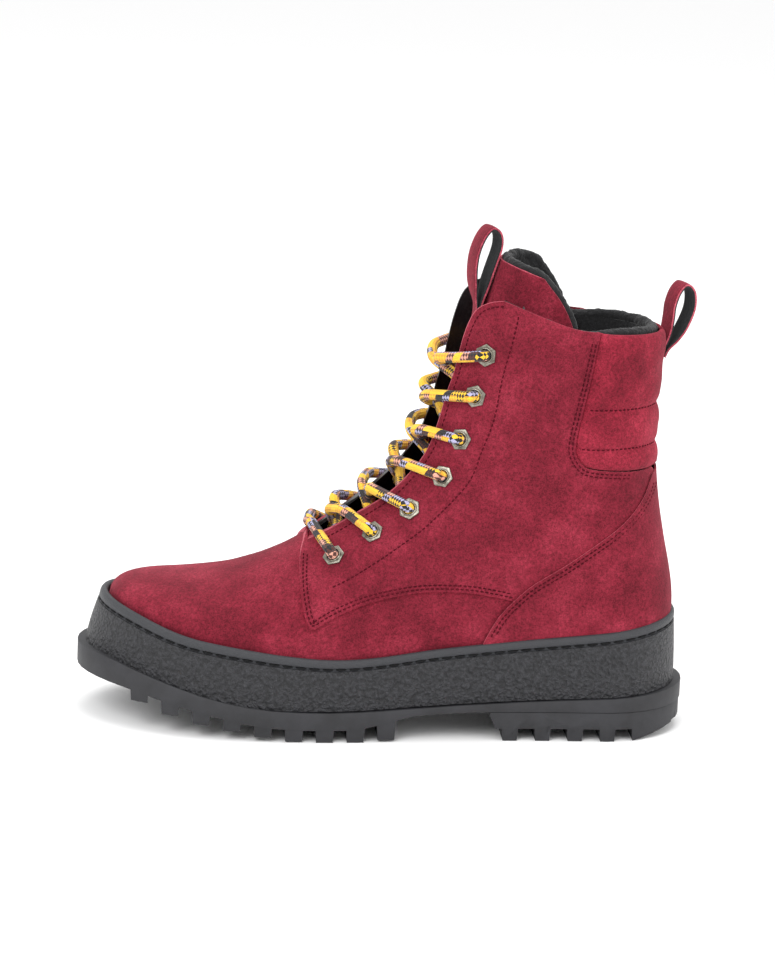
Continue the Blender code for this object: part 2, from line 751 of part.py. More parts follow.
def tongue_surface(name, depth_in):
    """The tongue wraps the front of the leg: one arc across it at each place along its line."""
    centre = smooth_line(TONGUE_LINE, 1)
    reach = np.concatenate([[0], np.cumsum(np.linalg.norm(np.diff(centre, axis=0), axis=1))])
    part = reach / reach[-1]
    inward = -shifted_direction(centre)
    depth, width = table(TONGUE_DEPTH), table(TONGUE_WIDTH)
    across = 10
    points, faces = [], []
    for i, (x, z) in enumerate(centre):
        for k in range(across + 1):
            angle = math.radians(88) * (2 * k / across - 1)
            back = (depth(part[i])) * (1 - math.cos(angle)) + depth_in * math.cos(angle)
            y = (width(part[i]) - depth_in) * math.sin(angle)
            drop = inward[i] * back
            points.append((x + drop[0], centre_y(x) + y, z + drop[1]))
    size = across + 1
    for i in range(len(centre) - 1):
        for k in range(across):
            a = size * i + k
            faces.append((a, a + size, a + size + 1, a + 1))
    return mesh_of(name, points, faces)


def shifted_direction(points):
    return shifted(points, 1.0) - np.array(points)


def tongue_layer(name, depth_in, thickness, look):
    mesh = tongue_surface(name, depth_in)
    ob = put(name, mesh, look)
    solid = ob.modifiers.new("thickness", "SOLIDIFY")
    solid.thickness = thickness * MM
    solid.offset = -1
    settle(ob)
    face_out(ob.data)
    rounded_look(ob.data)
    return ob


def strap(name, route, look):
    """A flat strap bent into a loop: its side view outline, made solid across its width."""
    centre = smooth_line(route, 4)
    outline = list(shifted(centre, STRAP / 2)) + list(shifted(centre, -STRAP / 2))[::-1]
    mesh = prism(name, [tuple(p) for p in outline], -STRAP_WIDTH / 2, STRAP_WIDTH / 2, cutter=False)
    rounded_look(mesh)
    return put(name, mesh, look)


def pivot(name, x, z, pieces):
    """An empty on a joint axis that its pieces hang from."""
    empty = bpy.data.objects.new(name, None)
    BOOT.objects.link(empty)
    empty.location = (x * MM, 0, z * MM)
    for piece in pieces:
        piece.parent = empty
        piece.matrix_parent_inverse = Matrix.Translation((-x * MM, 0, -z * MM))
    return empty


def make_tongue():
    red = (SUEDE_RED, 0.95)
    tongue = tongue_layer("tongue", 0.0, TONGUE_SUEDE, red)
    fleece = tongue_layer("tongue_lining", TONGUE_SUEDE + GAP, TONGUE_FLEECE, (BLACK_FLEECE, 0.98))
    loop = strap("tongue_loop", TONGUE_STRAP, red)
    joint = pivot("tongue_pivot", *TONGUE_PIVOT, [tongue, fleece])
    hang = pivot("tongue_loop_pivot", TONGUE_STRAP[0][0] + 1, TONGUE_STRAP[0][1], [loop])
    hang.parent = joint
    hang.matrix_parent_inverse = Matrix.Translation([-c * MM for c in (TONGUE_PIVOT[0], 0, TONGUE_PIVOT[1])])
    heel_loop = strap("heel_loop", HEEL_STRAP, red)
    pivot("heel_loop_pivot", HEEL_STRAP[0][0] + 1.2, HEEL_STRAP[0][1], [heel_loop])


# ---- eyelets and lace -------------------------------------------------------------------------------

def prism_round(sides, radius, low, high):
    bm = bmesh.new()
    bmesh.ops.create_cone(bm, cap_ends=True, segments=sides, radius1=radius * MM,
                          radius2=radius * MM, depth=(high - low) * MM)
    bmesh.ops.translate(bm, verts=bm.verts, vec=(0, 0, (high + low) / 2 * MM))
    mesh = bpy.data.meshes.new("round")
    bm.to_mesh(mesh)
    bm.free()
    return mesh


def make_eyelets():
    """A hexagonal flange on a short barrel, pierced right through; all fourteen share the mesh."""
    model = put("eyelet_model", prism_round(6, HEX_RADIUS, FLANGE_LOW, FLANGE_TOP), None, cutter=True)
    barrel = put("eyelet_barrel", prism_round(10, BARREL, BARREL_END, FLANGE_LOW + 0.4), None, cutter=True)
    bore = put("eyelet_bore", prism_round(10, EYELET_BORE, BARREL_END - 1, FLANGE_TOP + 1), None,
               cutter=True)
    cut(model, barrel, "UNION")
    cut(model, bore, "DIFFERENCE")
    settle(model)
    rounded_look(model.data, 35)
    model.data.materials.clear()
    model.data.materials.append(material("eyelet", STEEL, 0.38, 1.0))
    form = Form()
    for side, tag in ((-1, "lateral"), (1, "medial")):
        for i, (x, z) in enumerate(EYELETS):
            ob = bpy.data.objects.new("eyelet_%s_%d" % (tag, i + 1), model.data)
            BOOT.objects.link(ob)
            ob.matrix_world = seat(form, x, z, side)
    for spare in (model, barrel, bore):
        bpy.data.objects.remove(spare, do_unlink=True)


def lace_turn(form, index, side, aim, inside):
    """Three points of the bend at an eyelet's mouth, from the hole towards aim."""
    x, z = EYELETS[index]
    centre, n = form.point(x, z, side), form.normal(x, z, side)
    along = np.array(aim) - centre
    along -= n * (along @ n)
    along /= np.linalg.norm(along)
    sign = -1 if inside else 1
    start = BARREL_END - 0.7 if inside else FLANGE_TOP + 0.15
    out = [centre - n * 2.2] if inside else []
    for degrees in (0, 30, 60, 90):
        a = math.radians(degrees)
        out.append(centre + n * (start + sign * LACE_BEND * math.sin(a))
                   + along * LACE_BEND * (1 - math.cos(a)))
    return out


def lace_side(form, side):
    """One end of the lace, from the bar at the bottom up to its tucked end."""
    above = LACE_RADIUS + 1.6
    below = -(BACKING_IN + BACKING + LACE_RADIUS + 1.1)
    edge = np.array(EDGES, float)
    front = edge + (shifted(edge, 1) - edge) * np.linspace(*EDGE_CLEAR, len(edge))[:, None]

    def between(line, i, part):
        return line[i] * (1 - part) + line[i + 1] * part

    over = form.off(*edge[0], side, above)
    route = [form.off(*front[0], side, above), over]
    route += lace_turn(form, 0, side, over, False)[::-1]
    for i in range(len(EYELETS) - 1):
        own = form.off(*between(edge, i, 0.2), side, below)
        past = form.off(*between(front, i, 0.3), side, below)
        far = form.off(*between(front, i, 0.7), -side, above)
        over = form.off(*between(edge, i, 0.85), -side, above)
        middle = (past + far) / 2
        lift = (1 if (side > 0) == (i % 2 == 0) else -1) * (LACE_RADIUS + 0.5)
        n = form.normal(*between(front, i, 0.5), side) + form.normal(*between(front, i, 0.5), -side)
        middle = middle + n / np.linalg.norm(n) * (lift + 1.5)
        route += lace_turn(form, i, side, own, True)
        route += [own, past, middle, far, over]
        side = -side
        route += lace_turn(form, i + 1, side, over, False)[::-1]
    tail = [form.off(x, z, side, below - 1.2) for x, z in LACE_TAIL]
    route += lace_turn(form, len(EYELETS) - 1, side, tail[0], True) + tail
    return route, side, below


BEND_STEP = math.radians(24)


def tube(name, route, radius, look, spacing=7.0):
    """A round cord along a route: a curve with filled caps, turned into a mesh."""
    path = smooth_line(route, 8)
    even = [path[0]]
    heading = path[1] - path[0]
    for before, spot in zip(path[1:-1], path[2:]):
        step = spot - before
        turn = math.acos(min(1.0, step @ heading / np.linalg.norm(step) / np.linalg.norm(heading)))
        if turn > BEND_STEP or np.linalg.norm(before - even[-1]) > spacing:
            even.append(before)
            heading = step
    even.append(path[-1])
    curve = bpy.data.curves.new(name, "CURVE")
    curve.dimensions = "3D"
    curve.bevel_depth = radius * MM
    curve.bevel_resolution = 1
    curve.use_fill_caps = True
    spline = curve.splines.new("POLY")
    spline.points.add(len(even) - 1)
    for point, spot in zip(spline.points, even):
        point.co = (spot[0] * MM, spot[1] * MM, spot[2] * MM, 1)
    guide = bpy.data.objects.new(name + "_route", curve)
    CUTTERS.objects.link(guide)
    bpy.context.view_layer.update()
    mesh = bpy.data.meshes.new_from_object(guide.evaluated_get(bpy.context.evaluated_depsgraph_get()))
    bpy.data.objects.remove(guide, do_unlink=True)
    bm = bmesh.new()
    bm.from_mesh(mesh)
    bmesh.ops.remove_doubles(bm, verts=bm.verts, dist=0.01 * MM)
    bm.to_mesh(mesh)
    bm.free()
    face_out(mesh)
    rounded_look(mesh, 60)
    return put(name, mesh, look)


def make_lace():
    form = Form()
    outer, outer_end, below = lace_side(form, -1)
    inner, inner_end, below = lace_side(form, 1)
    bar = np.array([-37.5, centre_y(-37.5), form.crown_z(-37.5) + LACE_RADIUS + 1.3])
    tube("lace", outer[::-1] + [bar] + inner, LACE_RADIUS, ((0.80, 0.55, 0.06), 0.85))
    for side, tag in ((outer_end, "a"), (inner_end, "b")):
        route = [form.off(x, z, side, below - 1.1) for x, z in AGLET_TAIL]
        tube("aglet_" + tag, route, AGLET_RADIUS, ((0.05, 0.04, 0.03), 0.3))


def main():
    plate, limit = make_outsole()
    make_heel_block(limit)
    make_sidewall()
    footbed = make_sole_inside()
    pivot("footbed_pivot", *FOOTBED_PIVOT, [footbed])
    make_upper()
    make_tongue()
    make_eyelets()
    make_lace()


main()
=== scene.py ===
import math

import bmesh
import bpy
import numpy as np
from mathutils import Matrix, Vector, noise


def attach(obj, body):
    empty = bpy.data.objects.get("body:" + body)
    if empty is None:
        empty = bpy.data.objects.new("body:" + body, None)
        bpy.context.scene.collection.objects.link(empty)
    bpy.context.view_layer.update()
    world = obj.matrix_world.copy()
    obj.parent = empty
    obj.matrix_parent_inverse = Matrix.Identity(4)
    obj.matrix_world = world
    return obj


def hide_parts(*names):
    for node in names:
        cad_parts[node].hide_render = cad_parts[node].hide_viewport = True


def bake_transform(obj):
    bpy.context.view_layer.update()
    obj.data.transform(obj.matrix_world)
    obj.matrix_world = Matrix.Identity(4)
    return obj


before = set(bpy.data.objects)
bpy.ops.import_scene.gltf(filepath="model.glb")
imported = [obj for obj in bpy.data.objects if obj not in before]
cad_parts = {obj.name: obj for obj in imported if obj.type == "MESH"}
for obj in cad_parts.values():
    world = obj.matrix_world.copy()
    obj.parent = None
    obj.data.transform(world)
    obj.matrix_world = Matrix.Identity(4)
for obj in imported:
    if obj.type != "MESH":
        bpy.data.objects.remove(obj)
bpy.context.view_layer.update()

mm = 0.001      # outlines are listed in millimetres
gap = 0.3

# the boot's shape, by the same profiles as the frame: side view points (x, z)
wallTopLine = [(-140, 61), (-120, 56), (-98, 49.5), (-79, 46), (-50, 42), (-27, 40), (-5, 41),
               (26, 45), (64, 49), (103, 53), (142, 59)]
rimTopLine = [(-148, 33.5), (-135, 33), (-122, 30), (-107, 26), (-84, 20), (-62, 16), (-35, 14.5),
              (-8, 15), (27, 17), (73, 19.5), (107, 21), (148, 23.5)]
crownLine = [(-133.5, 57), (-131, 62), (-126, 65.5), (-116, 68), (-93, 70.5), (-70, 75.5), (-50, 84),
             (-38, 92), (-25, 102), (-10, 114.5), (2, 127), (10, 140), (15.5, 155), (19.5, 175),
             (22, 198), (23, 214)]
backLine = [(139.5, 20), (140, 55), (139.5, 68), (137.5, 80), (134, 95), (130.5, 113), (128.3, 131),
            (127.3, 150), (127.3, 175), (128.3, 190), (129, 215)]
collarLine = [(20, 214), (45, 212), (58, 208), (72, 203), (86, 199), (110, 197.5), (132, 196.5)]
# half widths (x or z, half width)
outerWidths = [(-140, 44), (-100, 46), (-60, 48.6), (-45, 48.8), (-13, 46.5), (26, 41), (64, 37.5),
               (103, 36), (150, 36)]
innerWidths = [(-140, 44), (-100, 46.5), (-65, 48.8), (-45, 48.4), (-13, 42.5), (26, 36.5),
               (64, 34.5), (103, 34.8), (150, 35.5)]
shaftWidths = [(20, 37), (90, 36.5), (120, 34.5), (150, 34), (180, 34.5), (220, 35.5)]

upperShape = {"toeX": -133.5, "toeRadius": 50.0, "heelRadius": 34.0, "frontRadius": 46.0,
              "toeShift": 5.0, "wrinkle": 0.75, "crease": 0.9}


def smoothLine(points, steps=8):
    # Catmull-Rom through the points, ends held
    pts = np.array([points[0]] + list(points) + [points[-1]], float)
    out = []
    for i in range(1, len(pts) - 2):
        a, b, c, d = pts[i - 1], pts[i], pts[i + 1], pts[i + 2]
        for k in range(steps):
            t = k / steps
            out.append(0.5 * (2 * b + (c - a) * t + (2 * a - 5 * b + 4 * c - d) * t * t
                              + (3 * b - a - 3 * c + d) * t ** 3))
    out.append(pts[-2])
    return np.array(out)


def table(points, by=0):
    line = smoothLine(points)
    order = np.argsort(line[:, by], kind="stable")
    xs, ys = line[order, by], line[order, 1 - by]
    return lambda value: float(np.interp(value, xs, ys))


def shifted(points, distance):
    # the polyline moved sideways, to the left of its direction
    pts = np.array(points, float)
    step = np.gradient(pts, axis=0)
    step /= np.linalg.norm(step, axis=1)[:, None]
    return pts + distance * np.stack([-step[:, 1], step[:, 0]], axis=1)


def reachOf(path):
    # distance along a polyline at each of its points
    return np.concatenate([[0], np.cumsum(np.linalg.norm(np.diff(path, axis=0), axis=1))])


def pointAt(path, reach, distance):
    return np.array([np.interp(distance, reach, path[:, k]) for k in range(path.shape[1])])


def ease(value, low, high):
    t = min(max((value - low) / (high - low), 0.0), 1.0)
    return t * t * (3 - 2 * t)


def rounding(distance, radius):
    t = min(max(distance / radius, 0.0), 1.0)
    return math.sqrt(max(0.0, 1 - (1 - t) ** 2))


wallTop, rimTop, collarZ = table(wallTopLine), table(rimTopLine), table(collarLine)
backX = table(backLine, by=1)
outerWidth, innerWidth, shaftWidth = table(outerWidths), table(innerWidths), table(shaftWidths)


def centreY(x):
    return upperShape["toeShift"] * ease(-x, 70, 135)


def heelEnd(grow):
    return backX(wallTop(140)) + grow


def planWidth(x, side, grow=0.0, toe=0.0, heel=0.0):
    base = (outerWidth(x) if side < 0 else innerWidth(x)) + grow
    nose = rounding(x - (upperShape["toeX"] - toe), upperShape["toeRadius"] + toe)
    tail = rounding(heelEnd(heel) - x, upperShape["heelRadius"] + heel)
    return base * nose * tail


def wrinkle(x, z, side):
    # soft unevenness of worn-in suede, and flex creases behind the toe and at the ankle
    soft = noise.noise(Vector((x / 26, z / 21, side * 9.3)))
    soft += 0.45 * noise.noise(Vector((x / 11, z / 10, side * 5.1 + 20)))
    flex = math.exp(-((x + 62) / 16) ** 2 - ((z - 68) / 14) ** 2)
    ankle = math.exp(-((x - 62) / 34) ** 2 - ((z - 118) / 20) ** 2)
    fold = flex * math.sin((x * 0.8 + z * 0.55) / 3.1) + ankle * math.sin((z * 0.9 - x * 0.35) / 4.6)
    return upperShape["wrinkle"] * soft + upperShape["crease"] * fold * 0.6


class Form:
    # the boot's outer surface, moved inwards by inset millimetres
    def __init__(self, inset=0.0):
        self.inset = inset
        line = shifted(smoothLine(crownLine), -inset)
        self.crown = np.maximum.accumulate(line, axis=0)

    def crownZ(self, x):
        return float(np.interp(x, self.crown[:, 0], self.crown[:, 1]))

    def frontX(self, z):
        return float(np.interp(z, self.crown[:, 1], self.crown[:, 0]))

    def back(self, z):
        return backX(z) - self.inset

    def width(self, x, z, side):
        foot = outerWidth(x) if side < 0 else innerWidth(x)
        lift = ease(z, 55, 115)
        base = foot * (1 - lift) + shaftWidth(z) * lift - self.inset
        low, high = wallTop(x), self.crownZ(x)
        rise = min(max((z - low) / max(high - low, 0.5), 0.0), 1.0)
        arch = math.sqrt(max(0.0, 1 - rise ** 2.2))
        oval = rounding(x - self.frontX(z), upperShape["frontRadius"])
        leg = ease(x, -50, 20)
        nose = rounding(x - self.crown[0, 0], upperShape["toeRadius"])
        tail = rounding(self.back(z) - x, upperShape["heelRadius"])
        whole = base * (arch * (1 - leg) + oval * leg) * nose * tail
        return whole + wrinkle(x, z, side) * min(1.0, whole / 9)

    def point(self, x, z, side):
        return np.array([x, centreY(x) + side * self.width(x, z, side), z])

    def normal(self, x, z, side, step=0.6):
        dx = self.point(x + step, z, side) - self.point(x - step, z, side)
        dz = self.point(x, z + step, side) - self.point(x, z - step, side)
        n = np.cross(dx, dz) * (1 if side < 0 else -1)
        return n / np.linalg.norm(n)

    def off(self, x, z, side, distance, step=0.6):
        return self.point(x, z, side) + distance * self.normal(x, z, side, step)


# mesh helpers

def newPiece(name, mesh, body, slot, replaced=(), materials=()):
    piece = bpy.data.objects.new(name, mesh)
    bpy.context.scene.collection.objects.link(piece)
    for material in materials:
        mesh.materials.append(material)
    if body:
        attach(piece, body)
    if replaced:
        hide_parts(*replaced)
    return piece


def meshOf(name, points, faces):
    mesh = bpy.data.meshes.new(name)
    mesh.from_pydata([tuple(float(c) * mm for c in p) for p in points], [], faces)
    return mesh


def editMesh(mesh, change):
    bm = bmesh.new()
    bm.from_mesh(mesh)
    change(bm)
    bm.to_mesh(mesh)
    bm.free()


def mergeClose(bm, distance=0.02):
    bmesh.ops.remove_doubles(bm, verts=bm.verts, dist=distance * mm)


def faceOut(mesh):
    def turn(bm):
        bmesh.ops.recalc_face_normals(bm, faces=bm.faces)
        if bm.calc_volume(signed=True) < 0:
            bmesh.ops.reverse_faces(bm, faces=bm.faces)

    editMesh(mesh, turn)


def smoothShade(mesh, angle=40):
    mesh.shade_smooth()
    mesh.set_sharp_from_angle(angle=math.radians(angle))


def select(piece):
    bpy.ops.object.select_all(action="DESELECT")
    piece.select_set(True)
    bpy.context.view_layer.objects.active = piece


def finishModifiers(piece):
    select(piece)
    for mod in list(piece.modifiers):
        bpy.ops.object.modifier_apply(modifier=mod.name)


def gridMesh(name, rows, closed=False):
    # a skin over rows of points; closed joins each row's end to its start
    count = len(rows[0])
    points = [p for row in rows for p in row]
    faces = []
    for i in range(len(rows) - 1):
        for k in range(count if closed else count - 1):
            m = (k + 1) % count
            faces.append((i * count + k, i * count + m, (i + 1) * count + m, (i + 1) * count + k))
    mesh = meshOf(name, points, faces)

    def clean(bm):
        mergeClose(bm, 0.01)
        bmesh.ops.recalc_face_normals(bm, faces=bm.faces)

    editMesh(mesh, clean)
    return mesh


def thicken(piece, thickness, offset=-1.0, even=True):
    mod = piece.modifiers.new("thickness", "SOLIDIFY")
    mod.thickness = thickness * mm
    mod.offset = offset
    mod.use_even_offset = even


def finishLayer(piece, thickness, offset, softness):
    # a sheet gets its thickness and soft edges; its last material goes on the cut rim
    thicken(piece, thickness, offset)
    piece.modifiers[0].material_offset_rim = len(piece.data.materials) - 1
    bevel = piece.modifiers.new("softEdge", "BEVEL")
    bevel.width = softness * mm
    bevel.segments = 2
    bevel.limit_method = "ANGLE"
    finishModifiers(piece)
    faceOut(piece.data)
    smoothShade(piece.data, 50)


def fuzz(piece, strength, size, seed=0.0):
    # uneven pile: points move along their normals
    mesh = piece.data
    for vert in mesh.vertices:
        at = vert.co / (size * mm) + Vector((seed, seed, seed))
        vert.co += vert.normal * strength * mm * (noise.noise(at) + 0.5 * noise.noise(at * 2.3))


# materials

def colour(r, g, b):
    # display colour 0-255 to linear
    def lin(c):
        c /= 255
        return c / 12.92 if c <= 0.04045 else ((c + 0.055) / 1.055) ** 2.4
    return (lin(r), lin(g), lin(b), 1.0)


def makeGroup(name, inputs, outputs):
    tree = bpy.data.node_groups.new(name, "ShaderNodeTree")
    for label, value in inputs:
        socket = tree.interface.new_socket(name=label, in_out="INPUT", socket_type="NodeSocketFloat")
        socket.default_value = value
    for label in outputs:
        tree.interface.new_socket(name=label, in_out="OUTPUT", socket_type="NodeSocketFloat")
    return tree, tree.nodes.new("NodeGroupInput"), tree.nodes.new("NodeGroupOutput")


def mathNode(tree, operation, a, b=None):
    node = tree.nodes.new("ShaderNodeMath")
    node.operation = operation
    for socket, value in zip(node.inputs, (a, b)):
        if value is None:
            continue
        if isinstance(value, (int, float)):
            socket.default_value = value
        else:
            tree.links.new(value, socket)
    return node.outputs[0]


def times(tree, a, b):
    return mathNode(tree, "MULTIPLY", a, b)


def plus(tree, a, b):
    return mathNode(tree, "ADD", a, b)


def minus(tree, a, b):
    return mathNode(tree, "SUBTRACT", a, b)


def noiseNode(tree, vector, scale, detail=3.0, rough=0.55, distortion=0.0):
    node = tree.nodes.new("ShaderNodeTexNoise")
    node.inputs["Detail"].default_value = detail
    node.inputs["Roughness"].default_value = rough
    node.inputs["Distortion"].default_value = distortion
    tree.links.new(vector, node.inputs["Vector"])
    if isinstance(scale, (int, float)):
        node.inputs["Scale"].default_value = scale
    else:
        tree.links.new(scale, node.inputs["Scale"])
    return node.outputs["Fac"]


def buildNap():
    # brushed nap: broad cloudy patches, finger marks and a fine speckle
    tree, start, end = makeGroup("brushedNap", [("Patches", 38.0), ("Speckle", 1900.0)],
                                 ["Cloud", "Speckle", "Height"])
    place = tree.nodes.new("ShaderNodeTexCoord").outputs["Object"]
    broad = noiseNode(tree, place, start.outputs["Patches"], 2, 0.5, 0.2)
    marks = noiseNode(tree, place, times(tree, start.outputs["Patches"], 3.1), 4, 0.55, 0.2)
    fine = noiseNode(tree, place, start.outputs["Speckle"], 2, 0.7)
    coarse = noiseNode(tree, place, times(tree, start.outputs["Speckle"], 0.36), 2, 0.6)
    speckle = plus(tree, times(tree, fine, 0.6), times(tree, coarse, 0.4))
    cloud = plus(tree, times(tree, broad, 0.62), times(tree, marks, 0.38))
    tree.links.new(cloud, end.inputs["Cloud"])
    tree.links.new(speckle, end.inputs["Speckle"])
    fibre = noiseNode(tree, place, times(tree, start.outputs["Speckle"], 0.45), 3, 0.7)
    tree.links.new(plus(tree, times(tree, speckle, 0.5), fibre), end.inputs["Height"])
    return tree


def buildPebble():
    # leather-like grain of rounded pebbles with creases between them
    tree, start, end = makeGroup("pebbleGrain", [("Scale", 520.0)], ["Height", "Crease"])
    place = tree.nodes.new("ShaderNodeTexCoord").outputs["Object"]
    wobble = tree.nodes.new("ShaderNodeTexNoise")
    wobble.inputs["Scale"].default_value = 260
    tree.links.new(place, wobble.inputs["Vector"])
    push = tree.nodes.new("ShaderNodeVectorMath")
    push.operation = "MULTIPLY_ADD"
    push.inputs[1].default_value = (0.0022, 0.0022, 0.0022)
    tree.links.new(wobble.outputs["Color"], push.inputs[0])
    tree.links.new(place, push.inputs[2])
    cells = tree.nodes.new("ShaderNodeTexVoronoi")
    cells.feature = "SMOOTH_F1"
    tree.links.new(push.outputs[0], cells.inputs["Vector"])
    tree.links.new(start.outputs["Scale"], cells.inputs["Scale"])
    small = noiseNode(tree, place, times(tree, start.outputs["Scale"], 2.1), 3, 0.6)
    dome = minus(tree, 1.0, cells.outputs["Distance"])
    tree.links.new(plus(tree, dome, times(tree, small, 0.45)), end.inputs["Height"])
    tree.links.new(cells.outputs["Distance"], end.inputs["Crease"])
    return tree


def buildFleck():
    # small uneven variation and dust for plain surfaces
    tree, start, end = makeGroup("dustAndWear", [("Scale", 60.0), ("Fine", 900.0)], ["Dust", "Height"])
    place = tree.nodes.new("ShaderNodeTexCoord").outputs["Object"]
    tree.links.new(noiseNode(tree, place, start.outputs["Scale"], 5, 0.65), end.inputs["Dust"])
    tree.links.new(noiseNode(tree, place, start.outputs["Fine"], 3, 0.6), end.inputs["Height"])
    return tree


napGroup, pebbleGroup, fleckGroup = buildNap(), buildPebble(), buildFleck()


def newMaterial(name, roughness=0.6, metallic=0.0, **extra):
    mat = bpy.data.materials.new(name)
    mat.use_nodes = True
    shader = mat.node_tree.nodes["Principled BSDF"]
    shader.inputs["Roughness"].default_value = roughness
    shader.inputs["Metallic"].default_value = metallic
    for key, value in extra.items():
        shader.inputs[key.replace("_", " ")].default_value = value
    return mat, mat.node_tree, shader


def addGroup(tree, group, **values):
    node = tree.nodes.new("ShaderNodeGroup")
    node.node_tree = group
    for key, value in values.items():
        node.inputs[key].default_value = value
    return node


def ramp(tree, value, stops, constant=False):
    node = tree.nodes.new("ShaderNodeValToRGB")
    node.color_ramp.interpolation = "CONSTANT" if constant else "LINEAR"
    marks = node.color_ramp.elements
    while len(marks) < len(stops):
        marks.new(0.5)
    for mark, (place, tone) in zip(marks, stops):
        mark.position = place
        mark.color = tone
    tree.links.new(value, node.inputs["Fac"])
    return node.outputs["Color"]


def mixColour(tree, kind, factor, a, b):
    node = tree.nodes.new("ShaderNodeMix")
    node.data_type = "RGBA"
    node.blend_type = kind
    for socket, value in zip((node.inputs[0], node.inputs[6], node.inputs[7]), (factor, a, b)):
        if isinstance(value, (int, float, tuple)):
            socket.default_value = value
        else:
            tree.links.new(value, socket)
    return node.outputs[2]


def bump(tree, shader, height, strength, distance):
    node = tree.nodes.new("ShaderNodeBump")
    node.inputs["Strength"].default_value = strength
    node.inputs["Distance"].default_value = distance
    tree.links.new(height, node.inputs["Height"])
    tree.links.new(node.outputs["Normal"], shader.inputs["Normal"])


def suedeMaterial(name, dark, middle, light, sheen=0.22):
    mat, tree, shader = newMaterial(name, 0.93, Sheen_Weight=sheen, Sheen_Roughness=0.45,
                                    Sheen_Tint=colour(225, 120, 135), Specular_IOR_Level=0.2)
    nap = addGroup(tree, napGroup)
    base = ramp(tree, nap.outputs["Cloud"], [(0.31, dark), (0.5, middle), (0.7, light)])
    grain = ramp(tree, nap.outputs["Speckle"], [(0.38, (0.56, 0.53, 0.53, 1)),
                                                (0.62, (1.44, 1.48, 1.48, 1))])
    tree.links.new(mixColour(tree, "MULTIPLY", 1.0, base, grain), shader.inputs["Base Color"])
    bump(tree, shader, nap.outputs["Height"], 0.5, 0.0004)
    return mat


def grainMaterial(name, group, low, high, roughness, output, height, strength, distance, metallic=0.0,
                  values=(), **extra):
    mat, tree, shader = newMaterial(name, roughness, metallic, **extra)
    node = addGroup(tree, group, **dict(values))
    tone = ramp(tree, node.outputs[output], [(0.35, low), (0.68, high)])
    tree.links.new(tone, shader.inputs["Base Color"])
    bump(tree, shader, node.outputs[height], strength, distance)
    return mat


suedeTones = {"dark": colour(90, 17, 30), "middle": colour(112, 26, 41), "light": colour(136, 40, 56)}
suede = suedeMaterial("burgundySuede", suedeTones["dark"], suedeTones["middle"], suedeTones["light"])
suedeDeep = suedeMaterial("burgundySuedePad", colour(96, 17, 31), colour(124, 28, 44), colour(149, 42, 59))
# raw cut edge colour: partly the suede's own paler edge, partly a painted highlight where the edge would
# catch the light
rawEdgeAndHighlight = suedeMaterial("rawSuedeEdgeAndPaintedHighlight", colour(140, 50, 66), colour(166, 72, 86), colour(186, 96, 106), 0.2)
seamThread = grainMaterial("burgundyThread", fleckGroup, colour(58, 6, 16), colour(84, 14, 28), 0.9,
                           "Dust", "Height", 0.6, 0.0002, Specular_IOR_Level=0.1)
wallThread = grainMaterial("blackThread", fleckGroup, colour(4, 4, 5), colour(14, 14, 16), 0.6,
                           "Dust", "Height", 0.6, 0.0002, Specular_IOR_Level=0.2)
fleece = grainMaterial("blackFleece", napGroup, colour(6, 6, 7), colour(27, 27, 29), 0.97,
                       "Speckle", "Height", 1.0, 0.0012, values={"Patches": 60.0, "Speckle": 620.0}.items(),
                       Sheen_Weight=0.12, Sheen_Roughness=0.5)
blackLeather = grainMaterial("blackLiningLeather", pebbleGroup, colour(20, 19, 20), colour(36, 35, 36), 0.42,
                             "Crease", "Height", 0.25, 0.0003, values={"Scale": 1100.0}.items())
strapLining = grainMaterial("strapLining", napGroup, colour(16, 18, 19), colour(38, 41, 43), 0.9,
                            "Speckle", "Height", 0.7, 0.0004, values={"Speckle": 1200.0}.items())
rubberSmooth = grainMaterial("matRubber", fleckGroup, colour(26, 26, 29), colour(40, 40, 44), 0.6,
                             "Dust", "Height", 0.35, 0.0003, values={"Fine": 1500.0}.items())
foamGrey = grainMaterial("cellFoam", napGroup, colour(60, 60, 62), colour(96, 96, 98), 0.95,
                         "Speckle", "Height", 0.8, 0.0006)
fibreBoard = grainMaterial("fibreBoard", fleckGroup, colour(140, 112, 78), colour(188, 158, 118), 0.9,
                           "Dust", "Height", 0.5, 0.0003)
shankSteel = grainMaterial("springSteel", fleckGroup, colour(120, 118, 114), colour(176, 174, 170), 0.38,
                           "Dust", "Height", 0.2, 0.0001, metallic=1.0)
agedNickel = grainMaterial("agedNickel", fleckGroup, colour(92, 88, 78), colour(158, 154, 142), 0.36,
                           "Dust", "Height", 0.35, 0.00015, metallic=1.0,
                           values={"Scale": 420.0, "Fine": 2600.0}.items())
agletFilm = grainMaterial("agletFilm", fleckGroup, colour(60, 46, 20), colour(120, 96, 40), 0.2,
                          "Dust", "Height", 0.1, 0.0001)


def buildWallRubber():
    # grained below the stitched groove, smooth above it, by the piece's own attribute
    mat, tree, shader = newMaterial("grainedRubber", 0.48)
    pebble = addGroup(tree, pebbleGroup, Scale=640.0)
    own = tree.nodes.new("ShaderNodeAttribute")
    own.attribute_name = "grain"
    amount = own.outputs["Fac"]
    # painted highlight and shade: the pebble tops are painted lighter and the creases between them darker
    tone = ramp(tree, pebble.outputs["Height"], [(0.62, colour(30, 30, 33)), (1.08, colour(54, 54, 58))])
    plain = colour(45, 46, 50)
    tree.links.new(mixColour(tree, "MIX", amount, plain, tone), shader.inputs["Base Color"])
    fine = addGroup(tree, fleckGroup, Fine=1700.0)
    height = plus(tree, times(tree, pebble.outputs["Height"], amount),
                  times(tree, fine.outputs["Height"], 0.18))
    bump(tree, shader, height, 1.0, 0.0034)
    return mat


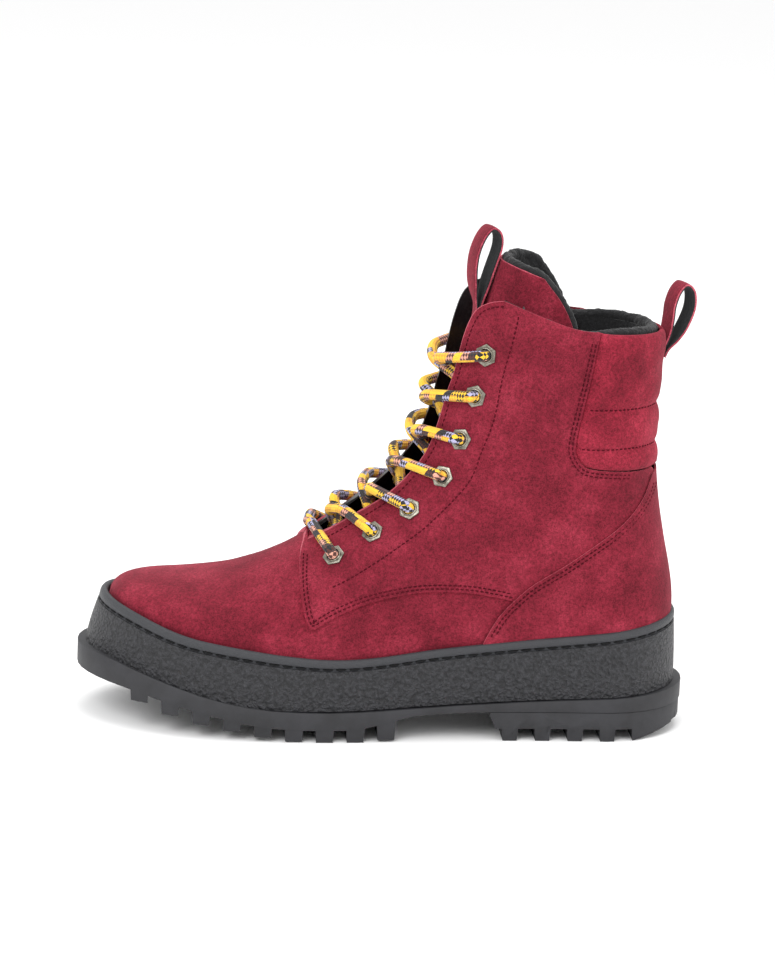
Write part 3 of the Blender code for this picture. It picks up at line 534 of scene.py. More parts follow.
def buildLaceMaterial():
    # flecked braid on the piece's own map: u is millimetres along, v is once round
    mat, tree, shader = newMaterial("fleckedBraid", 0.8, Sheen_Weight=0.15)
    uv = tree.nodes.new("ShaderNodeUVMap")
    uv.uv_map = "laceMap"
    parts = tree.nodes.new("ShaderNodeSeparateXYZ")
    tree.links.new(uv.outputs["UV"], parts.inputs[0])
    along, around = parts.outputs["X"], parts.outputs["Y"]

    def lattice(length, count):
        # two slanting families of strands, and the numbers of the strands at each spot
        step, turn = times(tree, along, 1.0 / length), times(tree, around, float(count))
        first, second = plus(tree, step, turn), minus(tree, step, turn)
        return first, second, mathNode(tree, "FLOOR", first), mathNode(tree, "FLOOR", second)

    # broad zones of colour, a few millimetres long and a quarter of the way round
    zoneSpot = tree.nodes.new("ShaderNodeCombineXYZ")
    tree.links.new(lattice(4.0, 2)[2], zoneSpot.inputs[0])
    tree.links.new(mathNode(tree, "FLOOR", times(tree, around, 4.0)), zoneSpot.inputs[1])
    random = tree.nodes.new("ShaderNodeTexWhiteNoise")
    random.noise_dimensions = "2D"
    tree.links.new(zoneSpot.outputs[0], random.inputs["Vector"])
    zone = random.outputs["Value"]
    yellow, amber, black = colour(246, 196, 44), colour(226, 158, 44), colour(22, 20, 24)
    rose, brown, lilac = colour(222, 160, 138), colour(78, 38, 30), colour(176, 172, 206)
    # each zone mixes two yarns in a fine check
    firstYarn = ramp(tree, zone, [(0.0, yellow), (0.34, black), (0.52, rose), (0.68, lilac), (0.8, yellow),
                                  (0.9, brown)], True)
    secondYarn = ramp(tree, zone, [(0.0, yellow), (0.2, amber), (0.34, lilac), (0.42, black),
                                   (0.52, brown), (0.68, black), (0.8, black)], True)
    leanLeft, leanRight, left, right = lattice(1.5, 6)
    check = mathNode(tree, "MODULO", mathNode(tree, "ABSOLUTE", plus(tree, left, right)), 2.0)
    tree.links.new(mixColour(tree, "MIX", check, firstYarn, secondYarn), shader.inputs["Base Color"])
    waves = [mathNode(tree, "SINE", times(tree, lean, 2 * math.pi)) for lean in (leanLeft, leanRight)]
    bump(tree, shader, times(tree, *waves), 0.6, 0.0005)
    return mat


grainedRubber, fleckedBraid = buildWallRubber(), buildLaceMaterial()
print("materials ready")

# seams in side view

throatLine = [(-38, 90), (-28, 95.8), (-16, 103.8), (-2, 113.8), (9, 125), (17, 137), (22, 151.5),
              (25, 164), (28, 175), (31, 190), (33.5, 199), (37, 206), (43, 210), (50, 211.5)]
vampSeam = [(-38, 93), (-41.5, 85), (-42, 76), (-41, 66), (-38.5, 57), (-35.5, 54), (-28, 58.5),
            (-20, 62.5), (-7, 67.5), (8, 71), (21, 72.3), (37, 72), (49, 70.3), (60, 68)]
counterSeam = [(42, 20), (44, 40), (47, 49), (53, 60), (60, 68), (69, 76), (82, 84.5), (98, 96),
               (112, 107), (121, 117), (126, 127)]
padSeam = [(97, 230), (95, 198), (92, 177), (89, 161), (86.5, 147), (86.5, 140), (90, 134.5),
           (95, 132.3), (112, 130.8), (126, 130)]
facingSeam = [(58, 215), (56, 205), (54, 193), (50, 175), (47, 155), (42, 140), (36, 124),
              (20, 106), (8, 96), (-7, 85), (-21, 76), (-36, 69)]
# how far the vamp runs under the quarters
vampUnder = [(-33.5, 130), (-33.5, 92), (-37, 85), (-37.5, 76), (-36.5, 69), (-32, 63.5), (-22, 67),
             (-8, 72), (8, 75.3), (21, 76.5), (37, 76.2), (50, 74.5), (60, 72)]

panels = {"frontColumns": 60, "rearColumns": 34, "rows": 34, "lasting": 12.0,
          "vampInset": 1.0, "vampThickness": 1.2, "quarterInset": -0.4, "quarterThickness": 1.3,
          "counterInset": -1.3, "counterThickness": 0.9, "flapInset": 1.2, "flapThickness": 1.5,
          "liningInset": 3.2, "liningThickness": 4.6, "liningPile": 0.5, "pileSize": 3.0,
          "flapShy": {-1: -1.6, 1: 2.6}, "lap": 4.0}


def formGrid(inset, depth):
    # rows of points round the upper: closed over the instep, open at the sole and the collar
    form = Form(inset)
    crown = form.crown
    reach = reachOf(crown)
    toe, splitLow = crown[0, 0], 62.0
    front, rear, rows = panels["frontColumns"], panels["rearColumns"], panels["rows"]

    def crownAt(part):
        return pointAt(crown, reach, part * reach[-1])

    def spot(column, row):
        part = row / rows
        if column <= front:
            u = column / front
            top = crownAt(u ** 1.35)
            x0 = toe + (splitLow - toe) * u ** 1.7
            z0 = wallTop(x0) - depth
            v = math.sin(part * math.pi / 2)
            return x0 + (top[0] - x0) * v, z0 + (top[1] - z0) * v
        w = (column - front) / rear
        share = math.sin(w * math.pi / 2)
        even = ease(w, 0, 0.6)
        v = math.sin(part * math.pi / 2) * (1 - even) + part * even
        end = crownAt(1.0)
        xTop = end[0] + share * (form.back(196) - end[0])
        xLow = splitLow + share * (form.back(47) - splitLow)
        z = wallTop(xLow) - depth + v * (collarZ(xTop) - wallTop(xLow) + depth)
        ahead = splitLow + (end[0] - splitLow) * v
        return ahead + share * (form.back(z) - ahead), z

    last = front + rear
    ring = [(c, -1) for c in range(last + 1)] + [(c, 1) for c in range(last - 1, 0, -1)]
    grid = []
    for column, side in ring:
        line = []
        for row in range(rows + 1):
            x, z = spot(column, row)
            ridge = column == 0 or column == last or (row == rows and column <= front)
            y = centreY(x) if ridge else form.point(x, z, side)[1]
            line.append((x, y, z))
        grid.append(line)
    points = [p for line in grid for p in line]
    size = rows + 1
    faces = []
    for i in range(len(ring)):
        j = (i + 1) % len(ring)
        for row in range(rows):
            faces.append((size * i + row, size * j + row, size * j + row + 1, size * i + row + 1))
    mesh = meshOf("formGrid", points, faces)
    editMesh(mesh, mergeClose)
    return mesh


def prism(name, outline, lowY, highY):
    # a side view outline as a solid between two values of y, from a filled flat curve
    curve = bpy.data.curves.new(name, "CURVE")
    curve.dimensions = "2D"
    curve.fill_mode = "BOTH"
    curve.extrude = (highY - lowY) / 2 * mm
    spline = curve.splines.new("POLY")
    spline.points.add(len(outline) - 1)
    for point, (x, z) in zip(spline.points, outline):
        point.co = (x * mm, z * mm, 0, 1)
    spline.use_cyclic_u = True
    flat = bpy.data.objects.new(name, curve)
    bpy.context.scene.collection.objects.link(flat)
    bpy.context.view_layer.update()
    mesh = bpy.data.meshes.new_from_object(flat.evaluated_get(bpy.context.evaluated_depsgraph_get()))
    bpy.data.objects.remove(flat, do_unlink=True)
    middle = Matrix.Translation((0, (lowY + highY) / 2 * mm, 0))
    mesh.transform(middle @ Matrix.Rotation(math.pi / 2, 4, "X"))
    editMesh(mesh, lambda bm: mergeClose(bm, 0.01))
    faceOut(mesh)
    solid = bpy.data.objects.new(name + "Cutter", mesh)
    bpy.context.scene.collection.objects.link(solid)
    return solid


def seamLine(points, distance=0.0):
    return [tuple(p) for p in shifted(smoothLine(points, 5), distance)]


def nearLine(points, x, z):
    # distance in side view from (x, z) to a polyline
    pts = np.array(points, float)
    a, d = pts[:-1], np.diff(pts, axis=0)
    along = (x - a[:, 0]) * d[:, 0] + (z - a[:, 1]) * d[:, 1]
    t = np.clip(along / np.maximum((d ** 2).sum(1), 1e-9), 0, 1)
    return float(np.min(np.hypot(a[:, 0] + t * d[:, 0] - x, a[:, 1] + t * d[:, 1] - z)))


def dropSlivers(bm):
    # a cut can leave slivers beside the panel: only its largest connected group of faces stays
    seen, groups = set(), []
    for start in bm.faces:
        if start in seen:
            continue
        group, queue = [], [start]
        seen.add(start)
        while queue:
            face = queue.pop()
            group.append(face)
            for edge in face.edges:
                for other in edge.link_faces:
                    if other not in seen:
                        seen.add(other)
                        queue.append(other)
        groups.append(group)
    groups.sort(key=lambda g: -sum(f.calc_area() for f in g))
    spare = [face for group in groups[1:] for face in group]
    bmesh.ops.delete(bm, geom=spare, context="FACES")


def cutPanel(name, inset, thickness, outline, side, face, edge, replaced, holes=()):
    # one layer of the upper inside a side view outline, with its raw edge in a lighter colour: partly the
    # suede's own paler cut edge, partly a painted highlight
    mesh = formGrid(inset, panels["lasting"])
    piece = bpy.data.objects.new(name, mesh)
    bpy.context.scene.collection.objects.link(piece)
    thicken(piece, thickness)
    cutters = [prism(name, outline, -90 if side <= 0 else 1.0, 90 if side >= 0 else -1.0)] + list(holes)
    for number, cutter in enumerate(cutters):
        mod = piece.modifiers.new("cut", "BOOLEAN")
        mod.object = cutter
        mod.operation = "INTERSECT" if number == 0 else "DIFFERENCE"
        mod.solver = "MANIFOLD"
    finishModifiers(piece)
    bpy.data.objects.remove(cutters[0], do_unlink=True)
    editMesh(piece.data, dropSlivers)
    mesh = piece.data
    mesh.materials.clear()
    mesh.materials.append(face)
    mesh.materials.append(edge)
    closed = list(outline) + [outline[0]]
    # cut rim faces take the second material; on suede that is the lighter edge colour with its painted
    # highlight
    for poly in mesh.polygons:
        poly.material_index = 0
        if abs(poly.normal.y) < 0.03:
            at = poly.center / mm
            if nearLine(closed, at.x, at.z) < 0.06:
                poly.material_index = 1
    smoothShade(mesh, 42)
    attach(piece, "boot")
    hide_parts(*replaced)
    return piece


eyelets = [(-26, 86), (-8, 98), (9, 110), (24, 126), (32, 144), (38, 165), (42, 185)]
eyeletSize = {"hexRadius": 5.5, "flangeLow": 0.45, "flangeTop": 1.3, "bore": 2.95, "rollRadius": 0.5,
              "rollAt": 3.3, "barrelEnd": -4.2, "barrelWall": 0.35, "softCorner": 0.28, "hole": 3.4,
              "holeDepth": 14, "flat": 2.5, "sides": 40, "spin": 11, "sideSpin": 7}


def seat(form, x, z, side):
    # the place of an eyelet, with its Z axis square to the upper
    turn = Vector(form.normal(x, z, side, eyeletSize["flat"])).to_track_quat("Z", "Y").to_matrix().to_4x4()
    return Matrix.Translation(Vector(form.point(x, z, side)) * mm) @ turn


def holeCutter(side):
    form = Form()
    bm = bmesh.new()
    for x, z in eyelets:
        made = bmesh.ops.create_cone(bm, cap_ends=True, segments=20, radius1=eyeletSize["hole"] * mm,
                                     radius2=eyeletSize["hole"] * mm, depth=eyeletSize["holeDepth"] * mm)
        bmesh.ops.transform(bm, verts=made["verts"], matrix=seat(form, x, z, side))
    mesh = bpy.data.meshes.new("holes")
    bm.to_mesh(mesh)
    bm.free()
    solid = bpy.data.objects.new("holeCutter", mesh)
    bpy.context.scene.collection.objects.link(solid)
    return solid


def makeUpper():
    lap = panels["lap"]
    rear = [p for p in seamLine(counterSeam, -lap) if p[1] < 66]
    vampOutline = [(-170, 0), (-170, 130)] + seamLine(vampUnder) + rear[::-1]
    cutPanel("vampSuede", panels["vampInset"], panels["vampThickness"], vampOutline, 0, suede, rawEdgeAndHighlight,
             ["vamp"])
    quarterOutline = (seamLine(throatLine) + [(60, 220), (94.6, 220)] + seamLine(padSeam[1:], -gap / 2)
                      + seamLine(counterSeam[4:], -lap)[:0:-1] + seamLine(vampSeam, 0)[-2::-1])
    for side, word, tag in ((-1, "outer", "lateral"), (1, "inner", "medial")):
        holes = [holeCutter(side)]
        flapOutline = seamLine(throatLine[:-1], panels["flapShy"][side]) + seamLine(facingSeam)
        cutPanel("quarterSuede_" + word, panels["quarterInset"], panels["quarterThickness"], quarterOutline,
                 side, suede, rawEdgeAndHighlight, ["quarter_" + tag], holes)
        cutPanel("laceFlapLining_" + word, panels["flapInset"], panels["flapThickness"], flapOutline, side,
                 blackLeather, blackLeather, ["facing_" + tag], holes)
        bpy.data.objects.remove(holes[0], do_unlink=True)
    counterOutline = seamLine(counterSeam) + [(135, 132), (160, 132), (160, 0), (42, 0)]
    cutPanel("heelCoverSuede", panels["counterInset"], panels["counterThickness"], counterOutline, 0, suede,
             rawEdgeAndHighlight, ["heel_cover"])
    front = seamLine(facingSeam[:-1], 2.5)
    rimLine = [(x, z - 2.2) for x, z in collarLine[2:]]
    shaftOutline = front[1:] + [(-31, 66), (-31, 0), (160, 0), (160, 194.3)] + rimLine[::-1]
    lining = cutPanel("shaftFleece", panels["liningInset"], panels["liningThickness"], shaftOutline, 0,
                      fleece, fleece, ["shaft_lining"])
    fuzz(lining, panels["liningPile"], panels["pileSize"])


makeUpper()
print("upper panels ready")


# collar pad with sewn channels

padShape = {"rows": 60, "columns": 44, "puff": 3.6, "base": -1.1, "channels": (161.0, 142.0), "under": 2.0,
            "channelDepth": 2.3, "channelWidth": 2.4, "topRoll": 5.0, "thickness": 2.4, "low": 128.6,
            "top": 196.8, "foot": 130.4, "frontFoot": 130.0, "softness": 7.0, "unevenness": 0.5,
            "foamInset": 0.9}
padEdge = smoothLine(padSeam, 6)
padFront = table([p for p in padSeam if p[1] >= padShape["frontFoot"]], by=1)


def padLift(x, z):
    # how far the pad stands off: full between its channels, flat under the quarter's edge
    if x < padFront(max(z, padShape["frontFoot"])) or z < padShape["foot"]:
        return padShape["base"]
    lift = padShape["puff"] * rounding(nearLine(padEdge, x, z), padShape["softness"])
    lift *= rounding(collarZ(x) - z, padShape["topRoll"]) * 0.75 + 0.25
    for level in padShape["channels"]:
        lift -= padShape["channelDepth"] * math.exp(-abs(z - level) / padShape["channelWidth"])
    lift += padShape["unevenness"] * noise.noise(Vector((x / 6, z / 8, 4.0)))
    return padShape["base"] + max(lift, 0.0)


def makeCollarPad():
    # columns run from the outer front edge round the back to the inner one
    form = Form()
    low, count = padShape["low"], padShape["columns"]
    rows = []
    for j in range(padShape["rows"] + 1):
        v = (j / padShape["rows"]) ** 1.15
        line = []
        for k in range(2 * count + 1):
            w = k / count - 1
            side = -1 if w < 0 else 1
            share = math.sin((1 - abs(w)) * math.pi / 2)
            z = low + v * (padShape["top"] - low)
            start = padFront(max(z, padShape["frontFoot"])) - padShape["under"]
            x = start + share * (form.back(z) - start)
            z = low + v * (collarZ(x) + 0.2 - low)
            lift = padLift(x, z)
            if abs(w) < 0.02:
                line.append((form.back(z) + lift, centreY(x), z))
            else:
                line.append(tuple(form.off(min(x, form.back(z) - 0.4), z, side, lift, 0.3)))
        rows.append(line)
    mesh = gridMesh("collarPadSuede", rows)
    piece = newPiece("collarPadSuede", mesh, "boot", "suede", ["collar_pad"], [suedeDeep])
    thicken(piece, padShape["thickness"], even=False)
    mod = piece.modifiers.new("rounding", "SUBSURF")
    mod.levels = mod.render_levels = 1
    finishModifiers(piece)
    faceOut(piece.data)
    smoothShade(piece.data, 60)


def makePadFoam():
    # the frame's foam drawn in a little, so that the sewn channels stay in front of it
    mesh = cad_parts["collar_foam"].data.copy()
    mesh.name = "collarFoamCore"
    mesh.materials.clear()

    def drawIn(bm):
        mergeClose(bm)
        bm.normal_update()
        for vert in bm.verts:
            vert.co -= vert.normal * padShape["foamInset"] * mm

    editMesh(mesh, drawIn)
    newPiece("collarFoamCore", mesh, "boot", "foam", ["collar_foam"], [foamGrey])


makeCollarPad()
makePadFoam()
print("collar pad ready")


# tubes: fleece rims, lace

def evenPath(route, spacing, steps=12):
    path = smoothLine(route, steps)
    reach = reachOf(path)
    count = max(2, int(reach[-1] / spacing))
    at = np.linspace(0, reach[-1], count + 1)
    return np.stack([np.interp(at, reach, path[:, k]) for k in range(3)], axis=1), at


def tubeMesh(name, path, reach, radius, sides, uvName=None):
    # rings carried along the path without twisting, ends closed with a point
    tangents = np.gradient(path, axis=0)
    tangents /= np.linalg.norm(tangents, axis=1)[:, None]
    up = np.cross(tangents[0], [0.3, 0.2, 1.0])
    up /= np.linalg.norm(up)
    points, faces, uvs = [], [], []
    for i, (p, t) in enumerate(zip(path, tangents)):
        up = up - t * (up @ t)
        up /= np.linalg.norm(up)
        across = np.cross(t, up)
        ends = min(reach[i], reach[-1] - reach[i])
        r = radius * rounding(ends + 0.15, radius)
        for k in range(sides):
            a = 2 * math.pi * k / sides
            points.append(p + up * math.cos(a) * r + across * math.sin(a) * r)
    for i in range(len(path) - 1):
        for k in range(sides):
            m = (k + 1) % sides
            faces.append((i * sides + k, i * sides + m, (i + 1) * sides + m, (i + 1) * sides + k))
            uvs += [(reach[i], k / sides), (reach[i], (k + 1) / sides), (reach[i + 1], (k + 1) / sides),
                    (reach[i + 1], k / sides)]
    faces.append(tuple(range(sides))[::-1])
    faces.append(tuple(range((len(path) - 1) * sides, len(path) * sides)))
    uvs += [(0, 0)] * (2 * sides)
    mesh = meshOf(name, points, faces)
    if uvName:
        layer = mesh.uv_layers.new(name=uvName)
        for loop, uv in zip(layer.data, uvs):
            loop.uv = uv
    return mesh


rimShape = {"collarRadius": 2.7, "tongueRadius": 2.3, "sides": 14, "spacing": 1.0, "inset": 4.6,
            "pile": 0.55, "pileSize": 2.2, "pileSeed": 3.0, "sunk": 3.4, "rise": 2.7,
            "riseFrom": 84, "riseTo": 108, "spots": (62, 70, 80, 90, 100, 110, 117, 121),
            "backLevel": 196.5, "backZ": 195.6}


def makeRim(name, route, radius, body):
    path, reach = evenPath(route, rimShape["spacing"])
    mesh = tubeMesh(name, path, reach, radius, rimShape["sides"])
    faceOut(mesh)
    piece = newPiece(name, mesh, body, "fleece", (), [fleece])
    fuzz(piece, rimShape["pile"], rimShape["pileSize"], rimShape["pileSeed"])
    mesh.shade_smooth()


def makeCollarRim():
    form = Form(rimShape["inset"])

    def half(side):
        line = []
        for x in rimShape["spots"]:
            rise = rimShape["rise"] * ease(x, rimShape["riseFrom"], rimShape["riseTo"])
            line.append(form.point(x, collarZ(x) - rimShape["sunk"] + rise, side))
        return line

    back = np.array([form.back(rimShape["backLevel"]), 0.0, rimShape["backZ"]])
    makeRim("collarFleeceRim", half(-1) + [back] + half(1)[::-1], rimShape["collarRadius"], "boot")


makeCollarRim()


# tongue

tongueLine = [(-34, 83), (-22, 89), (-8, 99), (5.5, 111), (16, 125), (24.5, 141), (31.5, 160),
              (37, 180), (42, 203), (47, 219.5), (49.3, 226.8)]
tongueShape = {"depth": [(0, 9), (0.35, 16), (0.6, 27), (0.78, 40), (0.86, 44.5), (0.93, 38), (1, 21)],
               "width": [(0, 19), (0.35, 20.5), (0.6, 23), (0.82, 25), (1, 20)],
               "farRise": 3.6, "unevenness": 0.7, "suede": 1.6, "fleece": 3.5, "across": 44, "steps": 7,
               "halfTurn": 88, "rimSunk": 1.6, "rimFrom": 0.80}


def tonguePoint(centre, inward, part, depthIn, angle, depth, width):
    back = depth(part) * (1 - math.cos(angle)) + depthIn * math.cos(angle)
    y = (width(part) - depthIn) * math.sin(angle)
    soft = tongueShape["unevenness"] * noise.noise(Vector((part * 14, angle * 2.5, 1.7)))
    rise = tongueShape["farRise"] * ease(y, 0, 18) * ease(part, 0.84, 1.0)
    return (centre[0] + inward[0] * (back + soft), centreY(centre[0]) + y,
            centre[1] + inward[1] * (back + soft) + rise)


def makeTongue():
    centre = smoothLine(tongueLine, tongueShape["steps"])
    reach = reachOf(centre)
    part = reach / reach[-1]
    inward = -(shifted(centre, 1.0) - centre)
    depth, width = table(tongueShape["depth"]), table(tongueShape["width"])
    across = tongueShape["across"]
    halfTurn = math.radians(tongueShape["halfTurn"])

    def spot(i, depthIn, angle):
        return tonguePoint(centre[i], inward[i], part[i], depthIn, angle, depth, width)

    def layer(name, depthIn, thickness, looks, slot, replaced):
        rows = []
        for i in range(len(centre)):
            rows.append([spot(i, depthIn, halfTurn * (2 * k / across - 1)) for k in range(across + 1)])
        mesh = gridMesh(name, rows)
        middle = mesh.polygons[len(mesh.polygons) // 2]
        if middle.normal.x > 0:
            mesh.flip_normals()
        piece = newPiece(name, mesh, "tongue", slot, replaced, looks)
        finishLayer(piece, thickness, -1.0, min(0.5, thickness * 0.3))
        return piece

    layer("tongueSuede", 0.0, tongueShape["suede"], [suede, rawEdgeAndHighlight], "suede", ["tongue"])
    lined = layer("tongueFleece", tongueShape["suede"] + 0.1, tongueShape["fleece"], [fleece], "fleece",
                  ["tongue_lining"])
    fuzz(lined, 0.4, 2.6, 7.0)
    # the rim runs up one edge, over the end and down the other edge
    inset = tongueShape["suede"] + tongueShape["rimSunk"]
    last = len(centre) - 1
    corner = int(tongueShape["rimFrom"] * last)
    route = [spot(i, inset, -halfTurn) for i in range(corner, last + 1, 3)]
    for degrees in range(-80, 81, 16):
        p = spot(last, inset, math.radians(degrees))
        route.append((p[0] + 0.4, p[1], p[2] + 0.6))
    route += [spot(i, inset, halfTurn) for i in range(last, corner - 1, -3)]
    makeRim("tongueFleeceRim", route, rimShape["tongueRadius"], "tongue")


makeTongue()
print("tongue ready")


# pull loops

strapShape = {"width": 13.0, "turn": 13.0, "turnOver": 13.0, "foot": 12.0, "curl": 0.25, "across": 8,
              "suede": 0.9, "suedeAt": 0.35, "lining": 0.55, "liningAt": -0.4, "softness": 0.18,
              "tongue": [(37, 191), (38.2, 197), (38.6, 204), (37, 212), (36.2, 220), (37, 229), (40, 237),
                         (44, 241.2), (47.6, 238.5), (48, 232), (44.8, 221.5), (42, 212), (40.4, 204),
                         (39.9, 197), (38.7, 191)],
              "heel": [(128.6, 182), (129.7, 187), (131.1, 193), (132.1, 201), (132.6, 207),
                       (134.8, 213.5), (138.4, 217), (142, 213.5), (142.4, 206), (139.4, 197.5),
                       (135.4, 191), (131.6, 186.5), (129.8, 182.4)]}


def makeStrap(name, route, bendAt, replaced):
    # the loop above its sewn foot is shaped turned a little about the upright
    centre = smoothLine(route, 8)
    away = shifted(centre, 1.0) - centre
    middle = (route[0][0] + route[-1][0]) / 2
    half = strapShape["width"] / 2
    across = strapShape["across"]

    def turned(x, y, z):
        a = math.radians(strapShape["turn"]) * ease(z, bendAt[1], bendAt[1] + strapShape["turnOver"])
        dx = x - middle
        return (middle + dx * math.cos(a) - y * math.sin(a), dx * math.sin(a) + y * math.cos(a), z)

    def layer(kind, offset, thickness, look, hides):
        rows = []
        for i, c in enumerate(centre):
            line = []
            for k in range(across + 1):
                y = half * (2 * k / across - 1)
                curl = strapShape["curl"] * (1 - (y / half) ** 2)
                at = c + away[i] * (offset + curl)
                line.append(turned(at[0], y, at[1]))
            rows.append(line)
        mesh = gridMesh(kind, rows)
        piece = newPiece(kind, mesh, None, "suede", hides, look)
        finishLayer(piece, thickness, 0.0, strapShape["softness"])
        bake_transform(piece)

    layer(name + "Suede", strapShape["suedeAt"], strapShape["suede"], [suede, rawEdgeAndHighlight], replaced)
    layer(name + "Lining", strapShape["liningAt"], strapShape["lining"], [strapLining], ())


makeStrap("tongueLoop", strapShape["tongue"], (38.0, 203), ["tongue_loop"])
makeStrap("heelLoop", strapShape["heel"], (132.5, 184), ["heel_loop"])
print("pull loops ready")


# sole

# a section point is (measured from, height, outward change in mm, grained): the height is a share of
# the grained part for "up" and millimetres below the lip's top for "down"
wallShape = {"columns": 150, "side": 3.4, "toe": 10.0, "heel": 4.2, "lip": 2.7, "grainTop": 6.2,
             "section": [("up", 0.0, -0.7, 1), ("up", 0.015, 0.0, 1), ("up", 0.15, 0.1, 1),
                         ("up", 0.3, 0.2, 1), ("up", 0.5, 0.25, 1), ("up", 0.7, 0.2, 1),
                         ("up", 0.9, 0.1, 1), ("down", 5.6, 0.0, 1), ("down", 5.2, -0.15, 0),
                         ("down", 4.95, -0.75, 0), ("down", 4.2, -0.85, 0), ("down", 3.95, -0.2, 0),
                         ("down", 3.6, 0.0, 0), ("down", 2.2, 0.15, 0), ("down", 1.1, 0.05, 0),
                         ("down", 0.45, -0.25, 0), ("down", 0.1, -0.75, 0), ("down", 0.0, -1.4, 0),
                         ("down", 0.25, -2.1, 0), ("down", 0.9, -3.1, 0), ("down", 2.0, -3.7, 0)]}


def wallPoint(share, side, kind, level, out):
    # share runs from the toe to the heel along one side, crowded at both ends
    part = 0.5 - 0.5 * math.cos(math.pi * share)
    toeX = upperShape["toeX"]
    middle = toeX + part * (heelEnd(0) - toeX)
    low, high = rimTop(middle) + gap, wallTop(middle)
    z = low + level * (high - wallShape["grainTop"] - low) if kind == "up" else high - level
    f = min(max((z - low) / (high - low), 0.0), 1.0)
    grow = wallShape["side"] + (wallShape["lip"] - wallShape["side"]) * f + out
    toe = wallShape["toe"] + (wallShape["lip"] - wallShape["toe"]) * f ** 1.2 + out
    heel = wallShape["heel"] + (wallShape["lip"] - wallShape["heel"]) * f + out
    x = toeX - toe + part * (heelEnd(heel) - toeX + toe)
    return x, centreY(x) + side * planWidth(x, side, grow, toe, heel), z


def makeSidewall():
    count = wallShape["columns"]
    ring = [(i, -1) for i in range(count + 1)] + [(i, 1) for i in range(count - 1, 0, -1)]
    rows, grains = [], []
    for kind, level, out, grain in wallShape["section"]:
        rows.append([wallPoint(i / count, side, kind, level, out) for i, side in ring])
        grains += [float(grain)] * len(ring)
    rows.append([(x, y, rimTop(x) + gap) for x, y, z in rows[-1]])
    grains += [0.0] * len(ring)
    points = [p for row in rows for p in row]
    around, levels = len(ring), len(rows)
    faces = []
    for i in range(levels):
        j = (i + 1) % levels
        for k in range(around):
            m = (k + 1) % around
            faces.append((i * around + k, i * around + m, j * around + m, j * around + k))
    mesh = meshOf("cupWall", points, faces)
    own = mesh.attributes.new("grain", "FLOAT", "POINT")
    own.data.foreach_set("value", grains)
    faceOut(mesh)
    smoothShade(mesh, 50)
    newPiece("cupWall", mesh, "boot", "rubber", ["sidewall"], [grainedRubber])


def refined(node, name, slot, width, material):
    # a merged copy of a frame solid with softened corners
    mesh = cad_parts[node].data.copy()

    def merge(bm):
        mergeClose(bm)
        bmesh.ops.dissolve_limit(bm, angle_limit=math.radians(1.0), verts=bm.verts, edges=bm.edges)

    editMesh(mesh, merge)
    mesh.materials.clear()
    piece = newPiece(name, mesh, "boot", slot, [node], [material])
    bevel = piece.modifiers.new("softCorners", "BEVEL")
    bevel.width = width * mm
    bevel.segments = 2
    bevel.limit_method = "ANGLE"
    bevel.angle_limit = math.radians(38)
    bevel.use_clamp_overlap = True
    finishModifiers(piece)
    smoothShade(piece.data, 35)
    return piece


makeSidewall()
refined("outsole", "treadOutsole", "rubber", 0.5, rubberSmooth)
refined("heel_block", "treadHeel", "rubber", 0.5, rubberSmooth)
print("sole ready")


# stitches

# a ring is (place along the stitch, share of the radius, rise as a share of the thickness)
stitchShape = {"length": 1.7, "pitch": 2.4, "radius": 0.32, "sides": 6,
               "rings": [(0.0, 0.35, -0.25), (0.18, 0.9, 0.0), (0.5, 1.0, 0.12), (0.82, 0.9, 0.0),
                         (1.0, 0.35, -0.25)],
               "lift": 0.55, "counterLift": 1.45, "throatInset": 2.4, "twinRows": (1.6, 3.3)}
wallStitch = {"length": 5.0, "pitch": 6.4, "radius": 0.5, "below": 4.6, "sunk": -0.4, "spots": 120}


def stitchMesh(name, rows, size):
    # each row is (length, place along it, outward direction), with both as functions of millimetres
    length, pitch, radius = size["length"], size["pitch"], size["radius"]
    points, faces = [], []
    sides = stitchShape["sides"]
    rings = stitchShape["rings"]
    for total, place, out in rows:
        for n in range(int(total / pitch)):
            start = n * pitch + (pitch - length) / 2
            a, b = place(start), place(start + length)
            n1 = out(start + length / 2)
            along = b - a
            along /= np.linalg.norm(along)
            across = np.cross(along, n1)
            first = len(points)
            for t, size, rise in rings:
                centre = a + (b - a) * t + n1 * rise * radius * 2
                for k in range(sides):
                    w = 2 * math.pi * k / sides
                    points.append(centre + (across * math.cos(w) + n1 * math.sin(w)) * radius * size)
            for r in range(len(rings) - 1):
                for k in range(sides):
                    m = (k + 1) % sides
                    q = first + r * sides
                    faces.append((q + k, q + m, q + sides + m, q + sides + k))
            faces.append(tuple(first + k for k in range(sides))[::-1])
            faces.append(tuple(first + (len(rings) - 1) * sides + k for k in range(sides)))
    mesh = meshOf(name, points, faces)
    faceOut(mesh)
    mesh.shade_smooth()
    return mesh


def stitchRow(spots, normals):
    reach = reachOf(spots)

    def place(distance):
        return pointAt(spots, reach, distance)

    def out(distance):
        n = pointAt(normals, reach, distance)
        return n / np.linalg.norm(n)

    return reach[-1], place, out


def rowOn(form, line, side, lift=None):
    # a stitch row along a side view line on the upper; lift is a height or a function of x and z
    lift = stitchShape["lift"] if lift is None else lift
    liftAt = lift if callable(lift) else (lambda x, z: lift)
    spots = np.array([form.off(x, z, side, liftAt(x, z)) for x, z in line])
    normals = np.array([form.normal(x, z, side) for x, z in line])
    return stitchRow(spots, normals)


